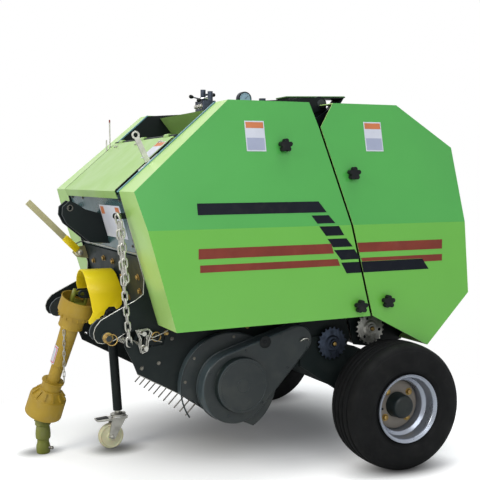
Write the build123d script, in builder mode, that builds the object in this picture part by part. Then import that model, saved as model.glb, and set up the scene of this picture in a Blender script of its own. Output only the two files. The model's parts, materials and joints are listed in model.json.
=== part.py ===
"""Mini round baler on two wheels, parked on its castor stand.

Millimetres. +X is the direction of travel, +Y the machine's left, +Z up.
Every place below is measured from the ground under the axle, and each
finished piece moves by AXLE_X, so that the whole machine is centred.
"""
from build123d import *
from math import cos, hypot, radians, sin
import os

os.makedirs("parts", exist_ok=True)

# Frame of the finished machine
AXLE_X = -484.5
SEAT = 0.3
RUNNING = 0.05
SIDES = (("left", 1), ("right", -1))

# Side plates and the split between the front and the tailgate
PLATE_IN = 400.0
PLATE = 8.0
PLATE_OUT = PLATE_IN + PLATE
SHEET = 3.0
GATE_GAP = 10.0
SPLIT_TOP = (312.0, 1365.0)
SPLIT_MID = (214.0, 991.0)
SPLIT_LOW = (117.0, 622.0)

# Covers: a thin box whose outer face has a crease
COVER_IN = PLATE_OUT + SEAT
COVER_TOP_Z = 1461.0
COVER_TOP_Y = 519.0
CREASE_Z = 985.0
CREASE_Y = 619.0
COVER_LOW_Z = 480.0
COVER_LOW_Y = 608.0
FRONT_COVER = {
    "top_front": (687.0, COVER_TOP_Z),
    "nose": (1079.0, 1122.0),
    "low_front": (933.0, 616.0),
    "low_rear": SPLIT_LOW,
    "crease": SPLIT_MID,
    "notch": SPLIT_TOP,
    "top_rear": (343.0, COVER_TOP_Z),
}
GATE_COVER = {
    "top_front": (237.0, COVER_TOP_Z),
    "top_rear": (-60.0, COVER_TOP_Z),
    "shoulder": (-309.0, 1290.0),
    "back": (-333.0, 990.0),
    "heel": (-360.0, 690.0),
    "toe": (-159.0, 484.0),
    "low_front": (SPLIT_LOW[0] - GATE_GAP, SPLIT_LOW[1]),
    "crease": (SPLIT_MID[0] - GATE_GAP, SPLIT_MID[1]),
    "notch": (SPLIT_TOP[0] - GATE_GAP, SPLIT_TOP[1]),
}

# Cover knobs
KNOB_STEM_R = 7.0
KNOB_RING_R = 12.0
KNOB_R = 17.0
KNOB_LOBE_R = 9.0
KNOB_RISE = 6.0
KNOB_T = 22.0
FRONT_KNOBS = ((473.0, 1291.0), (171.0, 665.0))
GATE_KNOBS = ((184.0, 1184.0), (45.0, 677.0))

# Bale chamber: steel rollers on a circle
CHAMBER = (205.0, 910.0)
ROLLER_CIRCLE = 420.0
ROLLER_R = 82.0
ROLLER_HALF = 380.0
JOURNAL_R = 17.0
FRONT_ROLLER_ANGLES = (-92.0, -64.0, -11.0, 14.0, 39.0, 64.0)
GATE_ROLLER_ANGLES = (91.0, 116.2, 141.3, 166.5, 191.7, 216.8, 242.0)
SPROCKET_R = 62.0
SPROCKET_TEETH = 20
SPROCKET_T = 10.0
SPROCKET_Y = 432.0

# Tailgate hinge and its cylinders
HINGE = (227.0, 1467.0)
HINGE_R = 15.0
EAR_R = 25.0
EAR_NOTCH = 8.0
LUG_OUT = 394.0
LUG_T = 8.0
CYL_FRONT = (330.0, 760.0)
CYL_GATE = (-60.0, 1290.0)
CYL_Y = 450.0
CYL_PIN_R = 12.0
BARREL_R = 25.0
ROD_R = 12.5
BARREL_START = 36.0
BARREL_LEN = 480.0
EYE_HALF = 13.0

# Wheels and axle
WHEEL_Z = 257.5
WHEEL_Y = 612.5
TYRE_W = 205.0
RIM_SEAT_R = 127.0
RIM_R = RIM_SEAT_R + 10.5
RIM_HALF = 97.0
SPINDLE_R = 20.0
HUB_R = 51.0
BOLT_CIRCLE_R = 73.0
BEAM = 50.0
BEAM_HALF = 505.0

# Pickup
REEL = (657.0, 369.0)
BAND_R = 135.0
BAND_T = 3.0
BAND_W = 40.0
BAND_PITCH = 65.0
BAND_COUNT = 12
TINE_TIP_R = 195.0
TINE_R = 3.0
TINE_BAR_CIRCLE = 85.0
TINE_BAR_R = 12.0
TINE_BAR_HALF = 382.0
SPIDER_R = 91.0
SPIDER_T = 6.0
REEL_SHAFT_R = 20.0
REEL_JOURNAL_R = 15.0
PICKUP_T = 6.0
PICKUP_IN = PLATE_OUT + SEAT
PICKUP_OUT = PICKUP_IN + PICKUP_T

# Front box, hood and top link
WALL_T = 4.0
HOOD_HALF = 385.0
HOOD_HINGE = (846.0, 1331.0)
HOOD_ROD_R = 5.0
HOOD_BARREL_R = 10.0
EAR_GAP = 54.0
EAR_T = 12.0
TOP_LINK_HOLE = (1172.0, 1052.0)
TOP_LINK_R = 9.75
LINK_PIN = (1132.0, 582.0)
LINK_PIN_R = 11.0
LINK_INNER = 340.0
LINK_EAR_T = 10.0
SMALL_PIN = (946.0, 574.0)
SMALL_PIN_R = 8.0
PIN_WASHER_T = 8.0

# Chain that holds the pickup at its working height
CHAIN_Y = 428.0
CHAIN_TOP = (1091.0, CHAIN_Y, 1036.0)
CHAIN_FOOT = (1053.0, CHAIN_Y, 550.0)
LINK_WIRE = 8.0
LINK_W = 26.0
LINK_COUNT = 17
CHAIN_PIN_R = 4.0
HOOK_PIN = (CHAIN_TOP[0] - SEAT, CHAIN_TOP[2] - CHAIN_PIN_R - SEAT)
CHAIN_PIN = (CHAIN_FOOT[0] + SEAT, CHAIN_FOOT[2] + CHAIN_PIN_R + SEAT)

# Power take-off
PTO_JOINT = (1125.0, 0.0, 700.0)
PTO_LEAN_X = 0.223
PTO_LEAN_Y = -0.31
GUARD_R = 73.0
GUARD_TUBE_R = 34.0
GUARD_INNER_R = 27.0
GUARD_START = 25.0
CUP_END = 84.0
COLLAR_START = 110.0
COLLAR_END = 150.0
COLLAR_R = 52.0
UPPER_END = 330.0
INNER_START = 190.0
CONE_START = 455.0
CONE_END = 485.0
LOWER_GUARD_R = 79.0
LOWER_GUARD_END = 570.0
LOWER_JOINT_AT = 575.0

# Castor stand
STAND = (966.0, -124.0, 617.0)
STAND_TILT = 3.5
CASTOR_R = 55.0
LEG_R = 20.0
LEG_STEM_R = 12.0
LEG_STEM = 22.0
FORK_TOP_Z = 2 * CASTOR_R + 32.9
LEG_LEN = (STAND[2] - FORK_TOP_Z) / cos(radians(STAND_TILT))
LEG_RISE = 90.0
CASTOR_W = 32.0
CASTOR_TRAIL = 34.0
SWIVEL_R = 32.0
PEDAL = 140.0
PEDAL_END = 102.0


def side_plane(y):
    """XZ plane at y whose extrusions run towards -Y."""
    return Plane.XZ.offset(-y)


def polar(centre, radius, angle):
    """Point on a circle in the XZ plane, angle in degrees from +X."""
    return (
        centre[0] + radius * cos(radians(angle)),
        centre[1] + radius * sin(radians(angle)),
    )


def unit(vector):
    """Direction of a vector."""
    return Vector(*vector).normalized()


def hand_over(builder, name):
    """Move a finished piece to the machine's frame, name it and write it."""
    piece = builder.part.moved(Location((AXLE_X, 0, 0)))
    piece.label = name
    export_step(piece, f"parts/{name}.step")


def rod_y(point, radius, low, high):
    """Cylinder along Y between two y values, in the current part."""
    with BuildSketch(side_plane(high)) as profile:
        with Locations(point):
            Circle(radius)
    extrude(profile.sketch, amount=high - low)


def cut_y(point, radius, low, high):
    """Round hole along Y between two y values, in the current part."""
    with BuildSketch(side_plane(high)) as profile:
        with Locations(point):
            Circle(radius)
    extrude(profile.sketch, amount=high - low, mode=Mode.SUBTRACT)


def slab(points, low, high):
    """Flat plate with an XZ outline between two y values."""
    with BuildSketch(side_plane(high)) as profile:
        with BuildLine():
            Polyline(*points, close=True)
        make_face()
    extrude(profile.sketch, amount=high - low)


def bent_sheet(points, thickness, low, high):
    """Folded sheet with an XZ centre line between two y values."""
    with BuildSketch(side_plane(high)) as profile:
        with BuildLine():
            Polyline(*points)
            offset(amount=thickness, kind=Kind.INTERSECTION, side=Side.LEFT)
        make_face()
    extrude(profile.sketch, amount=high - low)


def chain_pin(point, low):
    """Headed pin outwards from a plate, through the end link of the chain."""
    rod_y(point, CHAIN_PIN_R, low, CHAIN_Y + LINK_WIRE + 4)
    rod_y(point, 2 * CHAIN_PIN_R, CHAIN_Y + LINK_WIRE, CHAIN_Y + LINK_WIRE + 4)


def mirrored(sign):
    """Turn the current part into its right-hand twin when sign is -1."""
    if sign < 0:
        mirror(about=Plane.XZ, mode=Mode.REPLACE)


def lies_on(face, start, end):
    """True when a face stands on the outline edge from start to end."""
    length = hypot(end[0] - start[0], end[1] - start[1])
    for corner in face.vertices():
        across = (corner.X - start[0]) * (end[1] - start[1])
        across -= (corner.Z - start[1]) * (end[0] - start[0])
        if abs(across) > 0.05 * length:
            return False
    return True


def cover_shell(outline, open_edges, knobs):
    """Creased cover box, open inwards and along the named outline edges."""
    names = list(outline)
    slab(outline.values(), COVER_IN, CREASE_Y + 1)
    slope = (CREASE_Y - COVER_TOP_Y) / (COVER_TOP_Z - CREASE_Z)
    above = COVER_TOP_Z + 20
    with BuildSketch(Plane.YZ) as profile:
        with BuildLine():
            Polyline(
                (COVER_IN, COVER_LOW_Z - 20),
                (COVER_LOW_Y, COVER_LOW_Z - 20),
                (CREASE_Y, CREASE_Z),
                (CREASE_Y - slope * (above - CREASE_Z), above),
                (COVER_IN, above),
                close=True,
            )
        make_face()
    extrude(profile.sketch, amount=2000, both=True, mode=Mode.INTERSECT)
    openings = [f for f in faces() if f.normal_at().Y < -0.99]
    for name in open_edges:
        start = outline[name]
        end = outline[names[(names.index(name) + 1) % len(names)]]
        openings += [f for f in faces() if lies_on(f, start, end)]
    offset(amount=-SHEET, openings=openings, kind=Kind.INTERSECTION)
    for knob in knobs:
        cut_y(knob, KNOB_STEM_R + 1, COVER_IN, CREASE_Y + 1)


def cover_y(z):
    """y of the cover's outer face at a height."""
    if z >= CREASE_Z:
        run = (z - CREASE_Z) / (COVER_TOP_Z - CREASE_Z)
        return CREASE_Y + run * (COVER_TOP_Y - CREASE_Y)
    run = (CREASE_Z - z) / (CREASE_Z - (COVER_LOW_Z - 20))
    return CREASE_Y + run * (COVER_LOW_Y - CREASE_Y)


def knobs(places):
    """Five-lobed clamping knobs on both covers, stems through the sheet."""
    for sign in (1, -1):
        for x, z in places:
            face = cover_y(z)
            tilt = abs(cover_y(z + 1) - face)
            seat = face + KNOB_RISE
            ends = sorted((sign * (face - 18), sign * (seat + 4)))
            rod_y((x, z), KNOB_STEM_R, *ends)
            ends = sorted((sign * seat, sign * (seat + KNOB_T)))
            with BuildSketch(side_plane(ends[1])) as profile:
                with Locations((x, z)):
                    Circle(KNOB_R)
                    with PolarLocations(KNOB_R, 5, start_angle=90):
                        Circle(KNOB_LOBE_R)
            extrude(profile.sketch, amount=KNOB_T)
            base = face + SEAT + tilt * KNOB_RING_R
            ends = sorted((sign * base, sign * seat))
            rod_y((x, z), KNOB_RING_R, *ends)


def gate_hinge_bore(radius, low, high):
    """Hole for the hinge shaft."""
    cut_y(HINGE, radius, low, high)


# Front side plates, with the ears that carry the hinge shaft
SIDE_OUTLINE = (
    (690.0, 1458.0),
    (1078.0, 1121.0),
    (986.0, 790.0),
    (990.0, 735.0),
    (1021.0, 714.0),
    (1118.0, 667.0),
    (1156.0, 647.0),
    (1176.0, 623.0),
    (1183.0, 601.0),
    (1180.0, 582.0),
    (1169.0, 566.0),
    (1150.0, 561.0),
    (1108.0, 569.0),
    (1057.0, 596.0),
    (1017.0, 600.0),
    (985.0, 600.0),
    (985.0, 548.0),
    (905.0, 520.0),
    (560.0, 440.0),
    (420.0, 400.0),
    (150.0, 400.0),
    (88.0, 500.0),
    (SPLIT_LOW[0] + 2, SPLIT_LOW[1]),
    (SPLIT_MID[0] + 2, SPLIT_MID[1]),
    (SPLIT_TOP[0] + 2, SPLIT_TOP[1]),
    (320.0, 1402.0),
    (HINGE[0], HINGE[1] - EAR_R),
    (HINGE[0], HINGE[1] + EAR_R),
    (345.0, 1482.0),
)
HOOK_OUTLINE = (
    (1040.0, CHAIN_TOP[2] - 16),
    (1045.0, CHAIN_TOP[2] + 6),
    (CHAIN_TOP[0] + 7, CHAIN_TOP[2] + 6),
    (CHAIN_TOP[0] + 11, CHAIN_TOP[2]),
    (CHAIN_TOP[0] + 11, CHAIN_TOP[2] - 10),
    (CHAIN_TOP[0] + 5, CHAIN_TOP[2] - 16),
)
for side, sign in SIDES:
    with BuildPart() as side_plate:
        slab(SIDE_OUTLINE, PLATE_IN, PLATE_OUT)
        slab(HOOK_OUTLINE, PLATE_IN, PLATE_OUT)
        rod_y(HINGE, EAR_R, PLATE_IN, PLATE_OUT)
        gate_hinge_bore(HINGE_R + SEAT, PLATE_IN, PLATE_OUT)
        cut_y(LINK_PIN, LINK_PIN_R + SEAT, PLATE_IN, PLATE_OUT)
        cut_y(SMALL_PIN, SMALL_PIN_R + SEAT, PLATE_IN, PLATE_OUT)
        chain_pin(HOOK_PIN, PLATE_OUT)
        rod_y(CYL_FRONT, CYL_PIN_R, PLATE_OUT, CYL_Y + EYE_HALF + 6)
        rod_y(CYL_FRONT, CYL_PIN_R + 8, PLATE_OUT, CYL_Y - EYE_HALF - 5)
        mirrored(sign)
    hand_over(side_plate, f"side_plate_{side}")

# Cross beams, the hinge shaft and the rod that the hood turns on
BEAM_SECTIONS = (
    (510.0, 1405.0, 50.0),
    (900.0, 640.0, 60.0),
    (292.0, 422.0, 40.0),
)
with BuildPart() as cross_beams:
    for x, z, size in BEAM_SECTIONS:
        with BuildSketch(side_plane(PLATE_IN - SEAT)):
            with Locations((x, z)):
                RectangleRounded(size, size, size / 8)
        extrude(amount=2 * (PLATE_IN - SEAT))
    rod_y(HINGE, HINGE_R, -PLATE_OUT, PLATE_OUT)
    rod_y(HOOD_HINGE, HOOD_ROD_R, -PLATE_IN + SEAT, PLATE_IN - SEAT)
hand_over(cross_beams, "cross_beams")

# Sloping front wall and floor of the net box
WALL_TOP = (1069.6, 1135.4)
WALL_FOOT = (1000.0, 884.0)
GUARD_LINE = (
    (345.0, 1446.0),
    (625.0, 1446.0),
    (565.0, 1372.0),
    (690.0, 1150.0),
    (728.0, 900.0),
    (700.0, 742.0),
)
with BuildPart() as front_wall:
    bent_sheet(
        (WALL_TOP, WALL_FOOT, (736.0, WALL_FOOT[1])),
        WALL_T,
        -PLATE_IN + SEAT,
        PLATE_IN - SEAT,
    )
hand_over(front_wall, "front_wall")

# Roof over the front rollers, folded down as the chamber's front guard
with BuildPart() as roof_panel:
    bent_sheet(GUARD_LINE, SHEET, -PLATE_IN + SEAT, PLATE_IN - SEAT)
hand_over(roof_panel, "roof_panel")


def rollers(angles):
    """Chamber rollers with their journals, one solid each."""
    for angle in angles:
        centre = polar(CHAMBER, ROLLER_CIRCLE, angle)
        rod_y(centre, ROLLER_R, -ROLLER_HALF, ROLLER_HALF)
        rod_y(centre, JOURNAL_R, -PLATE_IN + SEAT, PLATE_IN - SEAT)


with BuildPart() as front_rollers:
    rollers(FRONT_ROLLER_ANGLES)
hand_over(front_rollers, "front_rollers")


def sprocket(centre, low):
    """Chain sprocket on a shaft stub that stands on the side plate."""
    with BuildSketch(side_plane(SPROCKET_Y + SPROCKET_T)) as profile:
        with Locations(centre):
            Circle(SPROCKET_R)
            with PolarLocations(SPROCKET_R + 2, SPROCKET_TEETH):
                Rectangle(12, 8)
    extrude(profile.sketch, amount=SPROCKET_T)
    rod_y(centre, 30, SPROCKET_Y - 4, SPROCKET_Y + SPROCKET_T + 6)
    rod_y(centre, JOURNAL_R, low, SPROCKET_Y + SPROCKET_T + 14)


LEG_T = 12.0
LEG_OUT = PLATE_OUT + SEAT + LEG_T
with BuildPart() as drive_sprocket:
    sprocket(polar(CHAMBER, ROLLER_CIRCLE, FRONT_ROLLER_ANGLES[0]), LEG_OUT + SEAT)
hand_over(drive_sprocket, "drive_sprocket")

# Front covers
for side, sign in SIDES:
    with BuildPart() as cover:
        cover_shell(
            FRONT_COVER,
            ("low_front", "low_rear", "crease", "notch"),
            FRONT_KNOBS,
        )
        mirrored(sign)
    hand_over(cover, f"front_cover_{side}")

with BuildPart() as front_knobs:
    knobs(FRONT_KNOBS)
hand_over(front_knobs, "front_knobs")

# Ears of the top link on the front wall
wall_slope = unit((WALL_TOP[0] - WALL_FOOT[0], 0, WALL_TOP[1] - WALL_FOOT[1]))


def wall_x(z):
    """x of a seat on the front wall's outer face at a height."""
    rise = (z - WALL_FOOT[1]) * wall_slope.X
    return WALL_FOOT[0] + (rise + WALL_T) / wall_slope.Z + SEAT


TOP_EAR = (
    (wall_x(1028), 1028.0),
    (1058.0, 1031.0),
    (1110.0, 1046.0),
    (1150.0, 1072.0),
    (1172.0, 1081.0),
    (1201.0, 1057.0),
    (1204.0, 1025.0),
    (1186.0, 989.0),
    (1092.0, 911.0),
    (wall_x(905), 905.0),
)
with BuildPart() as top_link_ears:
    for low in (-EAR_GAP / 2 - EAR_T, EAR_GAP / 2):
        high = low + EAR_T
        slab(TOP_EAR, low, high)
        cut_y(TOP_LINK_HOLE, TOP_LINK_R, low, high)
hand_over(top_link_ears, "top_link_ears")

# Drive plate with the gearbox, its input shaft and the fixed yoke
PLATE_TOP = (996.0, 876.0)
PLATE_FOOT = (936.0, 660.0)
BOX_FRONT = 1050.0
BOX_FACE = 10.0
SHIELD_IN = 91.0
YOKE_IN = 22.0
YOKE_OUT = 34.0
CROSS_R = 9.0
with BuildPart() as gearbox:
    bent_sheet((PLATE_TOP, PLATE_FOOT), 8, -PLATE_IN + SEAT, PLATE_IN - SEAT)
    with BuildSketch(Plane.YZ.offset(920)):
        with Locations((STAND[1], 707)):
            Rectangle(76, 116)
    extrude(amount=80, mode=Mode.SUBTRACT)
    with BuildSketch(Plane.YZ.offset(945)):
        with Locations((0, PTO_JOINT[2])):
            RectangleRounded(140, 150, 25)
    extrude(amount=BOX_FRONT - 945)
    with BuildSketch(Plane.YZ.offset(BOX_FRONT - BOX_FACE)):
        with Locations((0, 673)):
            RectangleRounded(2 * (SHIELD_IN - SEAT), 76, 10)
    extrude(amount=BOX_FACE)
    with BuildSketch(Plane.YZ.offset(BOX_FRONT)):
        with Locations((0, PTO_JOINT[2])):
            Circle(17.5)
    extrude(amount=PTO_JOINT[0] - 52 - BOX_FRONT)
    with BuildSketch(Plane.YZ.offset(PTO_JOINT[0] - 58)):
        with Locations((0, PTO_JOINT[2])):
            RectangleRounded(2 * YOKE_OUT, 36, 8)
    extrude(amount=14)
    for low in (-YOKE_OUT, YOKE_IN):
        with BuildSketch(side_plane(low + YOKE_OUT - YOKE_IN)):
            with Locations((PTO_JOINT[0] - 22, PTO_JOINT[2])):
                Rectangle(44, 34)
            with Locations((PTO_JOINT[0], PTO_JOINT[2])):
                Circle(17)
        extrude(amount=YOKE_OUT - YOKE_IN)
    cut_y((PTO_JOINT[0], PTO_JOINT[2]), CROSS_R + RUNNING, -YOKE_OUT, YOKE_OUT)
hand_over(gearbox, "gearbox")

# Shield over the input shaft
SHIELD_REAR = 1012.0
SHIELD_FRONT = 1150.0
SHIELD_ARC_Z = 704.0
SHIELD_FOOT_Z = 590.0
with BuildPart() as pto_shield:
    with BuildSketch(Plane.YZ.offset(SHIELD_REAR)):
        with Locations((0, SHIELD_ARC_Z)):
            Circle(SHIELD_IN + WALL_T)
            Circle(SHIELD_IN, mode=Mode.SUBTRACT)
        with Locations((0, SHIELD_ARC_Z - 2 * SHIELD_IN)):
            Rectangle(4 * SHIELD_IN, 4 * SHIELD_IN, mode=Mode.SUBTRACT)
        for y in (-SHIELD_IN - WALL_T / 2, SHIELD_IN + WALL_T / 2):
            with Locations((y, (SHIELD_ARC_Z + SHIELD_FOOT_Z) / 2)):
                Rectangle(WALL_T, SHIELD_ARC_Z - SHIELD_FOOT_Z)
    extrude(amount=SHIELD_FRONT - SHIELD_REAR)
    with BuildSketch(side_plane(2 * SHIELD_IN)):
        with BuildLine():
            Polyline((1074, 580), (1160, 580), (1160, 780), (1144, 716), close=True)
        make_face()
    extrude(amount=4 * SHIELD_IN, mode=Mode.SUBTRACT)
hand_over(pto_shield, "pto_shield")

# Axle beam, its spindles and the legs that hang from the side plates
LEG_OUTLINE = (
    (330.0, 520.0),
    (330.0, 405.0),
    (60.0, 222.0),
    (-48.0, 222.0),
    (-48.0, 300.0),
    (20.0, 330.0),
    (122.0, 420.0),
    (122.0, 520.0),
)
with BuildPart() as axle:
    with BuildSketch(side_plane(BEAM_HALF)):
        with Locations((0, WHEEL_Z)):
            RectangleRounded(BEAM, BEAM, 5)
    extrude(amount=2 * BEAM_HALF)
    rod_y((0, WHEEL_Z), SPINDLE_R, -WHEEL_Y - 30, WHEEL_Y + 30)
    slab(LEG_OUTLINE, PLATE_OUT + SEAT, LEG_OUT)
    slab(LEG_OUTLINE, -LEG_OUT, -PLATE_OUT - SEAT)
hand_over(axle, "axle")

# Wheels
WHEEL_AXIS = Axis((0, 0, WHEEL_Z), (0, 1, 0))
for side, sign in SIDES:
    centre = sign * WHEEL_Y
    with BuildPart() as tyre:
        with BuildSketch(Plane.YZ):
            with BuildLine():
                half = TYRE_W / 2
                bead = RIM_HALF - 14
                tread = WHEEL_Z + WHEEL_Z
                seat = WHEEL_Z + RIM_SEAT_R + SEAT
                Polyline(
                    (centre - bead, seat + 13),
                    (centre - bead, seat),
                    (centre + bead, seat),
                    (centre + bead, seat + 13),
                )
                Spline(
                    (centre + bead, seat + 13),
                    (centre + half - 5, seat + 24),
                    (centre + half, seat + 62),
                    (centre + half - 18, tread - 12),
                )
                Polyline(
                    (centre + half - 18, tread - 12),
                    (centre + half - 32, tread - 2),
                    (centre, tread),
                    (centre - half + 32, tread - 2),
                    (centre - half + 18, tread - 12),
                )
                Spline(
                    (centre - half + 18, tread - 12),
                    (centre - half, seat + 62),
                    (centre - half + 5, seat + 24),
                    (centre - bead, seat + 13),
                )
            make_face()
        revolve(axis=WHEEL_AXIS)
    hand_over(tyre, f"tyre_{side}")

    with BuildPart() as rim:
        profile = (
            (sign * RIM_HALF, RIM_R),
            (sign * (RIM_HALF - 10), RIM_R),
            (sign * (RIM_HALF - 13), RIM_SEAT_R),
            (sign * (RIM_HALF - 50), RIM_SEAT_R - 3),
            (sign * (RIM_HALF - 62), RIM_SEAT_R - 20),
            (sign * (RIM_HALF - 120), RIM_SEAT_R - 20),
            (sign * (RIM_HALF - 132), RIM_SEAT_R - 3),
            (-sign * (RIM_HALF - 13), RIM_SEAT_R),
            (-sign * (RIM_HALF - 10), RIM_R),
            (-sign * RIM_HALF, RIM_R),
            (-sign * RIM_HALF, RIM_R - 4),
            (-sign * (RIM_HALF - 6), RIM_R - 5),
            (-sign * (RIM_HALF - 9), RIM_SEAT_R - 5),
            (sign * (RIM_HALF - 134), RIM_SEAT_R - 8),
            (sign * (RIM_HALF - 122), RIM_SEAT_R - 25),
            (sign * (RIM_HALF - 60), RIM_SEAT_R - 25),
            (sign * (RIM_HALF - 48), RIM_SEAT_R - 8),
            (sign * (RIM_HALF - 9), RIM_SEAT_R - 5),
            (sign * (RIM_HALF - 6), RIM_R - 5),
            (sign * RIM_HALF, RIM_R - 4),
        )
        with BuildSketch(Plane.YZ):
            with BuildLine():
                Polyline(*[(centre + y, WHEEL_Z + r) for y, r in profile], close=True)
            make_face()
        revolve(axis=WHEEL_AXIS)
        disc = sorted((centre + sign * 2, centre + sign * 8))
        rod_y((0, WHEEL_Z), RIM_SEAT_R - 23, *disc)
        hub = sorted((centre - sign * 90, centre + sign * 52))
        rod_y((0, WHEEL_Z), HUB_R, *hub)
        nuts = sorted((centre + sign * 2, centre + sign * 22))
        with BuildSketch(side_plane(nuts[1])):
            with Locations((0, WHEEL_Z)):
                with PolarLocations(BOLT_CIRCLE_R, 4, start_angle=40):
                    RegularPolygon(11, 6)
        extrude(amount=20)
        bore = sorted((centre - sign * 91, centre + sign * 32))
        cut_y((0, WHEEL_Z), SPINDLE_R + RUNNING, *bore)
    hand_over(rim, f"rim_{side}")

# Pickup side plates
PICKUP_OUTLINE = (
    (1018.0, 434.0),
    (746.0, 284.0),
    (650.0, 238.0),
    (545.0, 262.0),
    (440.0, 340.0),
    (440.0, 480.0),
    (560.0, 560.0),
    (900.0, 592.0),
    (915.0, 540.0),
    (1000.0, 530.0),
    (CHAIN_FOOT[0] - 16, CHAIN_FOOT[2] + 16),
    (CHAIN_FOOT[0] + 11, CHAIN_FOOT[2] + 16),
    (CHAIN_FOOT[0] + 15, CHAIN_FOOT[2] - 5),
    (1032.0, 470.0),
)
for side, sign in SIDES:
    with BuildPart() as pickup_side:
        slab(PICKUP_OUTLINE, PICKUP_IN, PICKUP_OUT)
        cut_y(REEL, REEL_JOURNAL_R + RUNNING, PICKUP_IN, PICKUP_OUT)
        cut_y((1000, 460), 7, PICKUP_IN, PICKUP_OUT)
        chain_pin(CHAIN_PIN, PICKUP_OUT)
        mirrored(sign)
    hand_over(pickup_side, f"pickup_side_{side}")

# Stripper bands round the reel, on their two cross bars
BAND_ENDS = ((495.0, REEL[1] + BAND_R), (450.0, 352.0))
BAND_ARC = (90.0, -17.9, -125.8)
BAND_BAR_R = 4.0
with BuildPart() as strippers:
    arc = [polar(REEL, BAND_R, angle) for angle in BAND_ARC]
    for index in range(BAND_COUNT):
        low = (index - (BAND_COUNT - 1) / 2) * BAND_PITCH - BAND_W / 2
        with BuildSketch(side_plane(low + BAND_W)):
            with BuildLine():
                Line(BAND_ENDS[0], arc[0])
                ThreePointArc(*arc)
                Line(arc[2], BAND_ENDS[1])
                offset(amount=BAND_T, side=Side.RIGHT)
            make_face()
        extrude(amount=BAND_W)
    rod_y(BAND_ENDS[0], BAND_BAR_R, -PLATE_IN + SEAT, PLATE_IN - SEAT)
    rod_y(BAND_ENDS[1], BAND_BAR_R, -PLATE_OUT, PLATE_OUT)
hand_over(strippers, "strippers")

# Pickup reel: shaft, three spiders, four tine bars and their tines
with BuildPart() as pickup_reel:
    rod_y(REEL, REEL_SHAFT_R, -PLATE_IN - 4, PLATE_IN + 4)
    rod_y(REEL, REEL_JOURNAL_R, -PICKUP_OUT + 0.5, PICKUP_OUT - 0.5)
    for y in (-375.0, -3.0, 369.0):
        rod_y(REEL, SPIDER_R, y, y + SPIDER_T)
    for angle in (45, 135, 225, 315):
        rod_y(polar(REEL, TINE_BAR_CIRCLE, angle), TINE_BAR_R, -TINE_BAR_HALF, TINE_BAR_HALF)
        for index in range(BAND_COUNT - 1):
            y = (index - (BAND_COUNT - 2) / 2) * BAND_PITCH
            foot = polar(REEL, TINE_BAR_CIRCLE, angle)
            along = Vector(cos(radians(angle)), 0, sin(radians(angle)))
            start = Plane(origin=(foot[0], y, foot[1]), z_dir=along)
            with BuildSketch(start):
                Circle(TINE_R)
            extrude(amount=TINE_TIP_R - TINE_BAR_CIRCLE)
hand_over(pickup_reel, "pickup_reel")

# Chain case of the pickup drive and the round cam housing behind it
CASE_IN = 450.0
CASE_OUT = 520.0
CASE_BIG_R = 140.0
CASE_SMALL_R = 60.0
CASE_DISC_R = 84.0
CAM_R = 203.0
case_end = polar(CHAMBER, ROLLER_CIRCLE, FRONT_ROLLER_ANGLES[1])
with BuildPart() as drive_case:
    with BuildSketch(side_plane(CASE_OUT)):
        with Locations(REEL):
            Circle(CASE_BIG_R)
        with Locations(case_end):
            Circle(CASE_SMALL_R)
        make_hull()
    extrude(amount=CASE_OUT - CASE_IN)
    fillet(faces().sort_by(Axis.Y)[-1].edges(), 10)
    rod_y(REEL, CASE_DISC_R, CASE_OUT, CASE_OUT + 24)
    fillet(faces().sort_by(Axis.Y)[-1].edges(), 6)
    rod_y((537, 537), 24, CASE_OUT, CASE_OUT + 3)
    rod_y(case_end, 24, PLATE_OUT + SEAT, CASE_IN)
    with BuildSketch(side_plane(CASE_IN)):
        with Locations(REEL):
            Circle(CAM_R)
        with BuildLine():
            Polyline((1018, 434), (746, 284), (400, 118), (400, -200), (1100, -200), close=True)
        make_face(mode=Mode.SUBTRACT)
    extrude(amount=CASE_IN - PICKUP_OUT - SEAT)
hand_over(drive_case, "drive_case")

# Inner ears of the lower links on the front beam, and the pins
LINK_EAR = (
    (930 + SEAT, 612.0),
    (930 + SEAT, 652.0),
    (1110.0, 652.0),
    (1150.0, 640.0),
    (1172.0, 620.0),
    (1180.0, 600.0),
    (1178.0, 580.0),
    (1166.0, 566.0),
    (1150.0, 561.0),
    (1110.0, 566.0),
    (1000.0, 612.0),
)
with BuildPart() as link_brackets:
    for side, sign in SIDES:
        ends = sorted((sign * (LINK_INNER - LINK_EAR_T), sign * LINK_INNER))
        slab(LINK_EAR, *ends)
        ends = sorted((sign * (LINK_INNER - LINK_EAR_T / 2), sign * (PLATE_OUT + 26)))
        rod_y(LINK_PIN, LINK_PIN_R, *ends)
        ends = sorted((sign * (PLATE_IN - 16), sign * (PLATE_OUT + 22)))
        rod_y(SMALL_PIN, SMALL_PIN_R, *ends)
        outside = sorted((sign * (PLATE_OUT + SEAT), sign * (PLATE_OUT + PIN_WASHER_T)))
        rod_y(LINK_PIN, 2 * LINK_PIN_R, *outside)
        rod_y(SMALL_PIN, 2 * SMALL_PIN_R, *outside)
        inside = sorted((sign * (PLATE_IN - SEAT), sign * (PLATE_IN - PIN_WASHER_T)))
        rod_y(SMALL_PIN, 2 * SMALL_PIN_R, *inside)
hand_over(link_brackets, "link_brackets")

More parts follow.
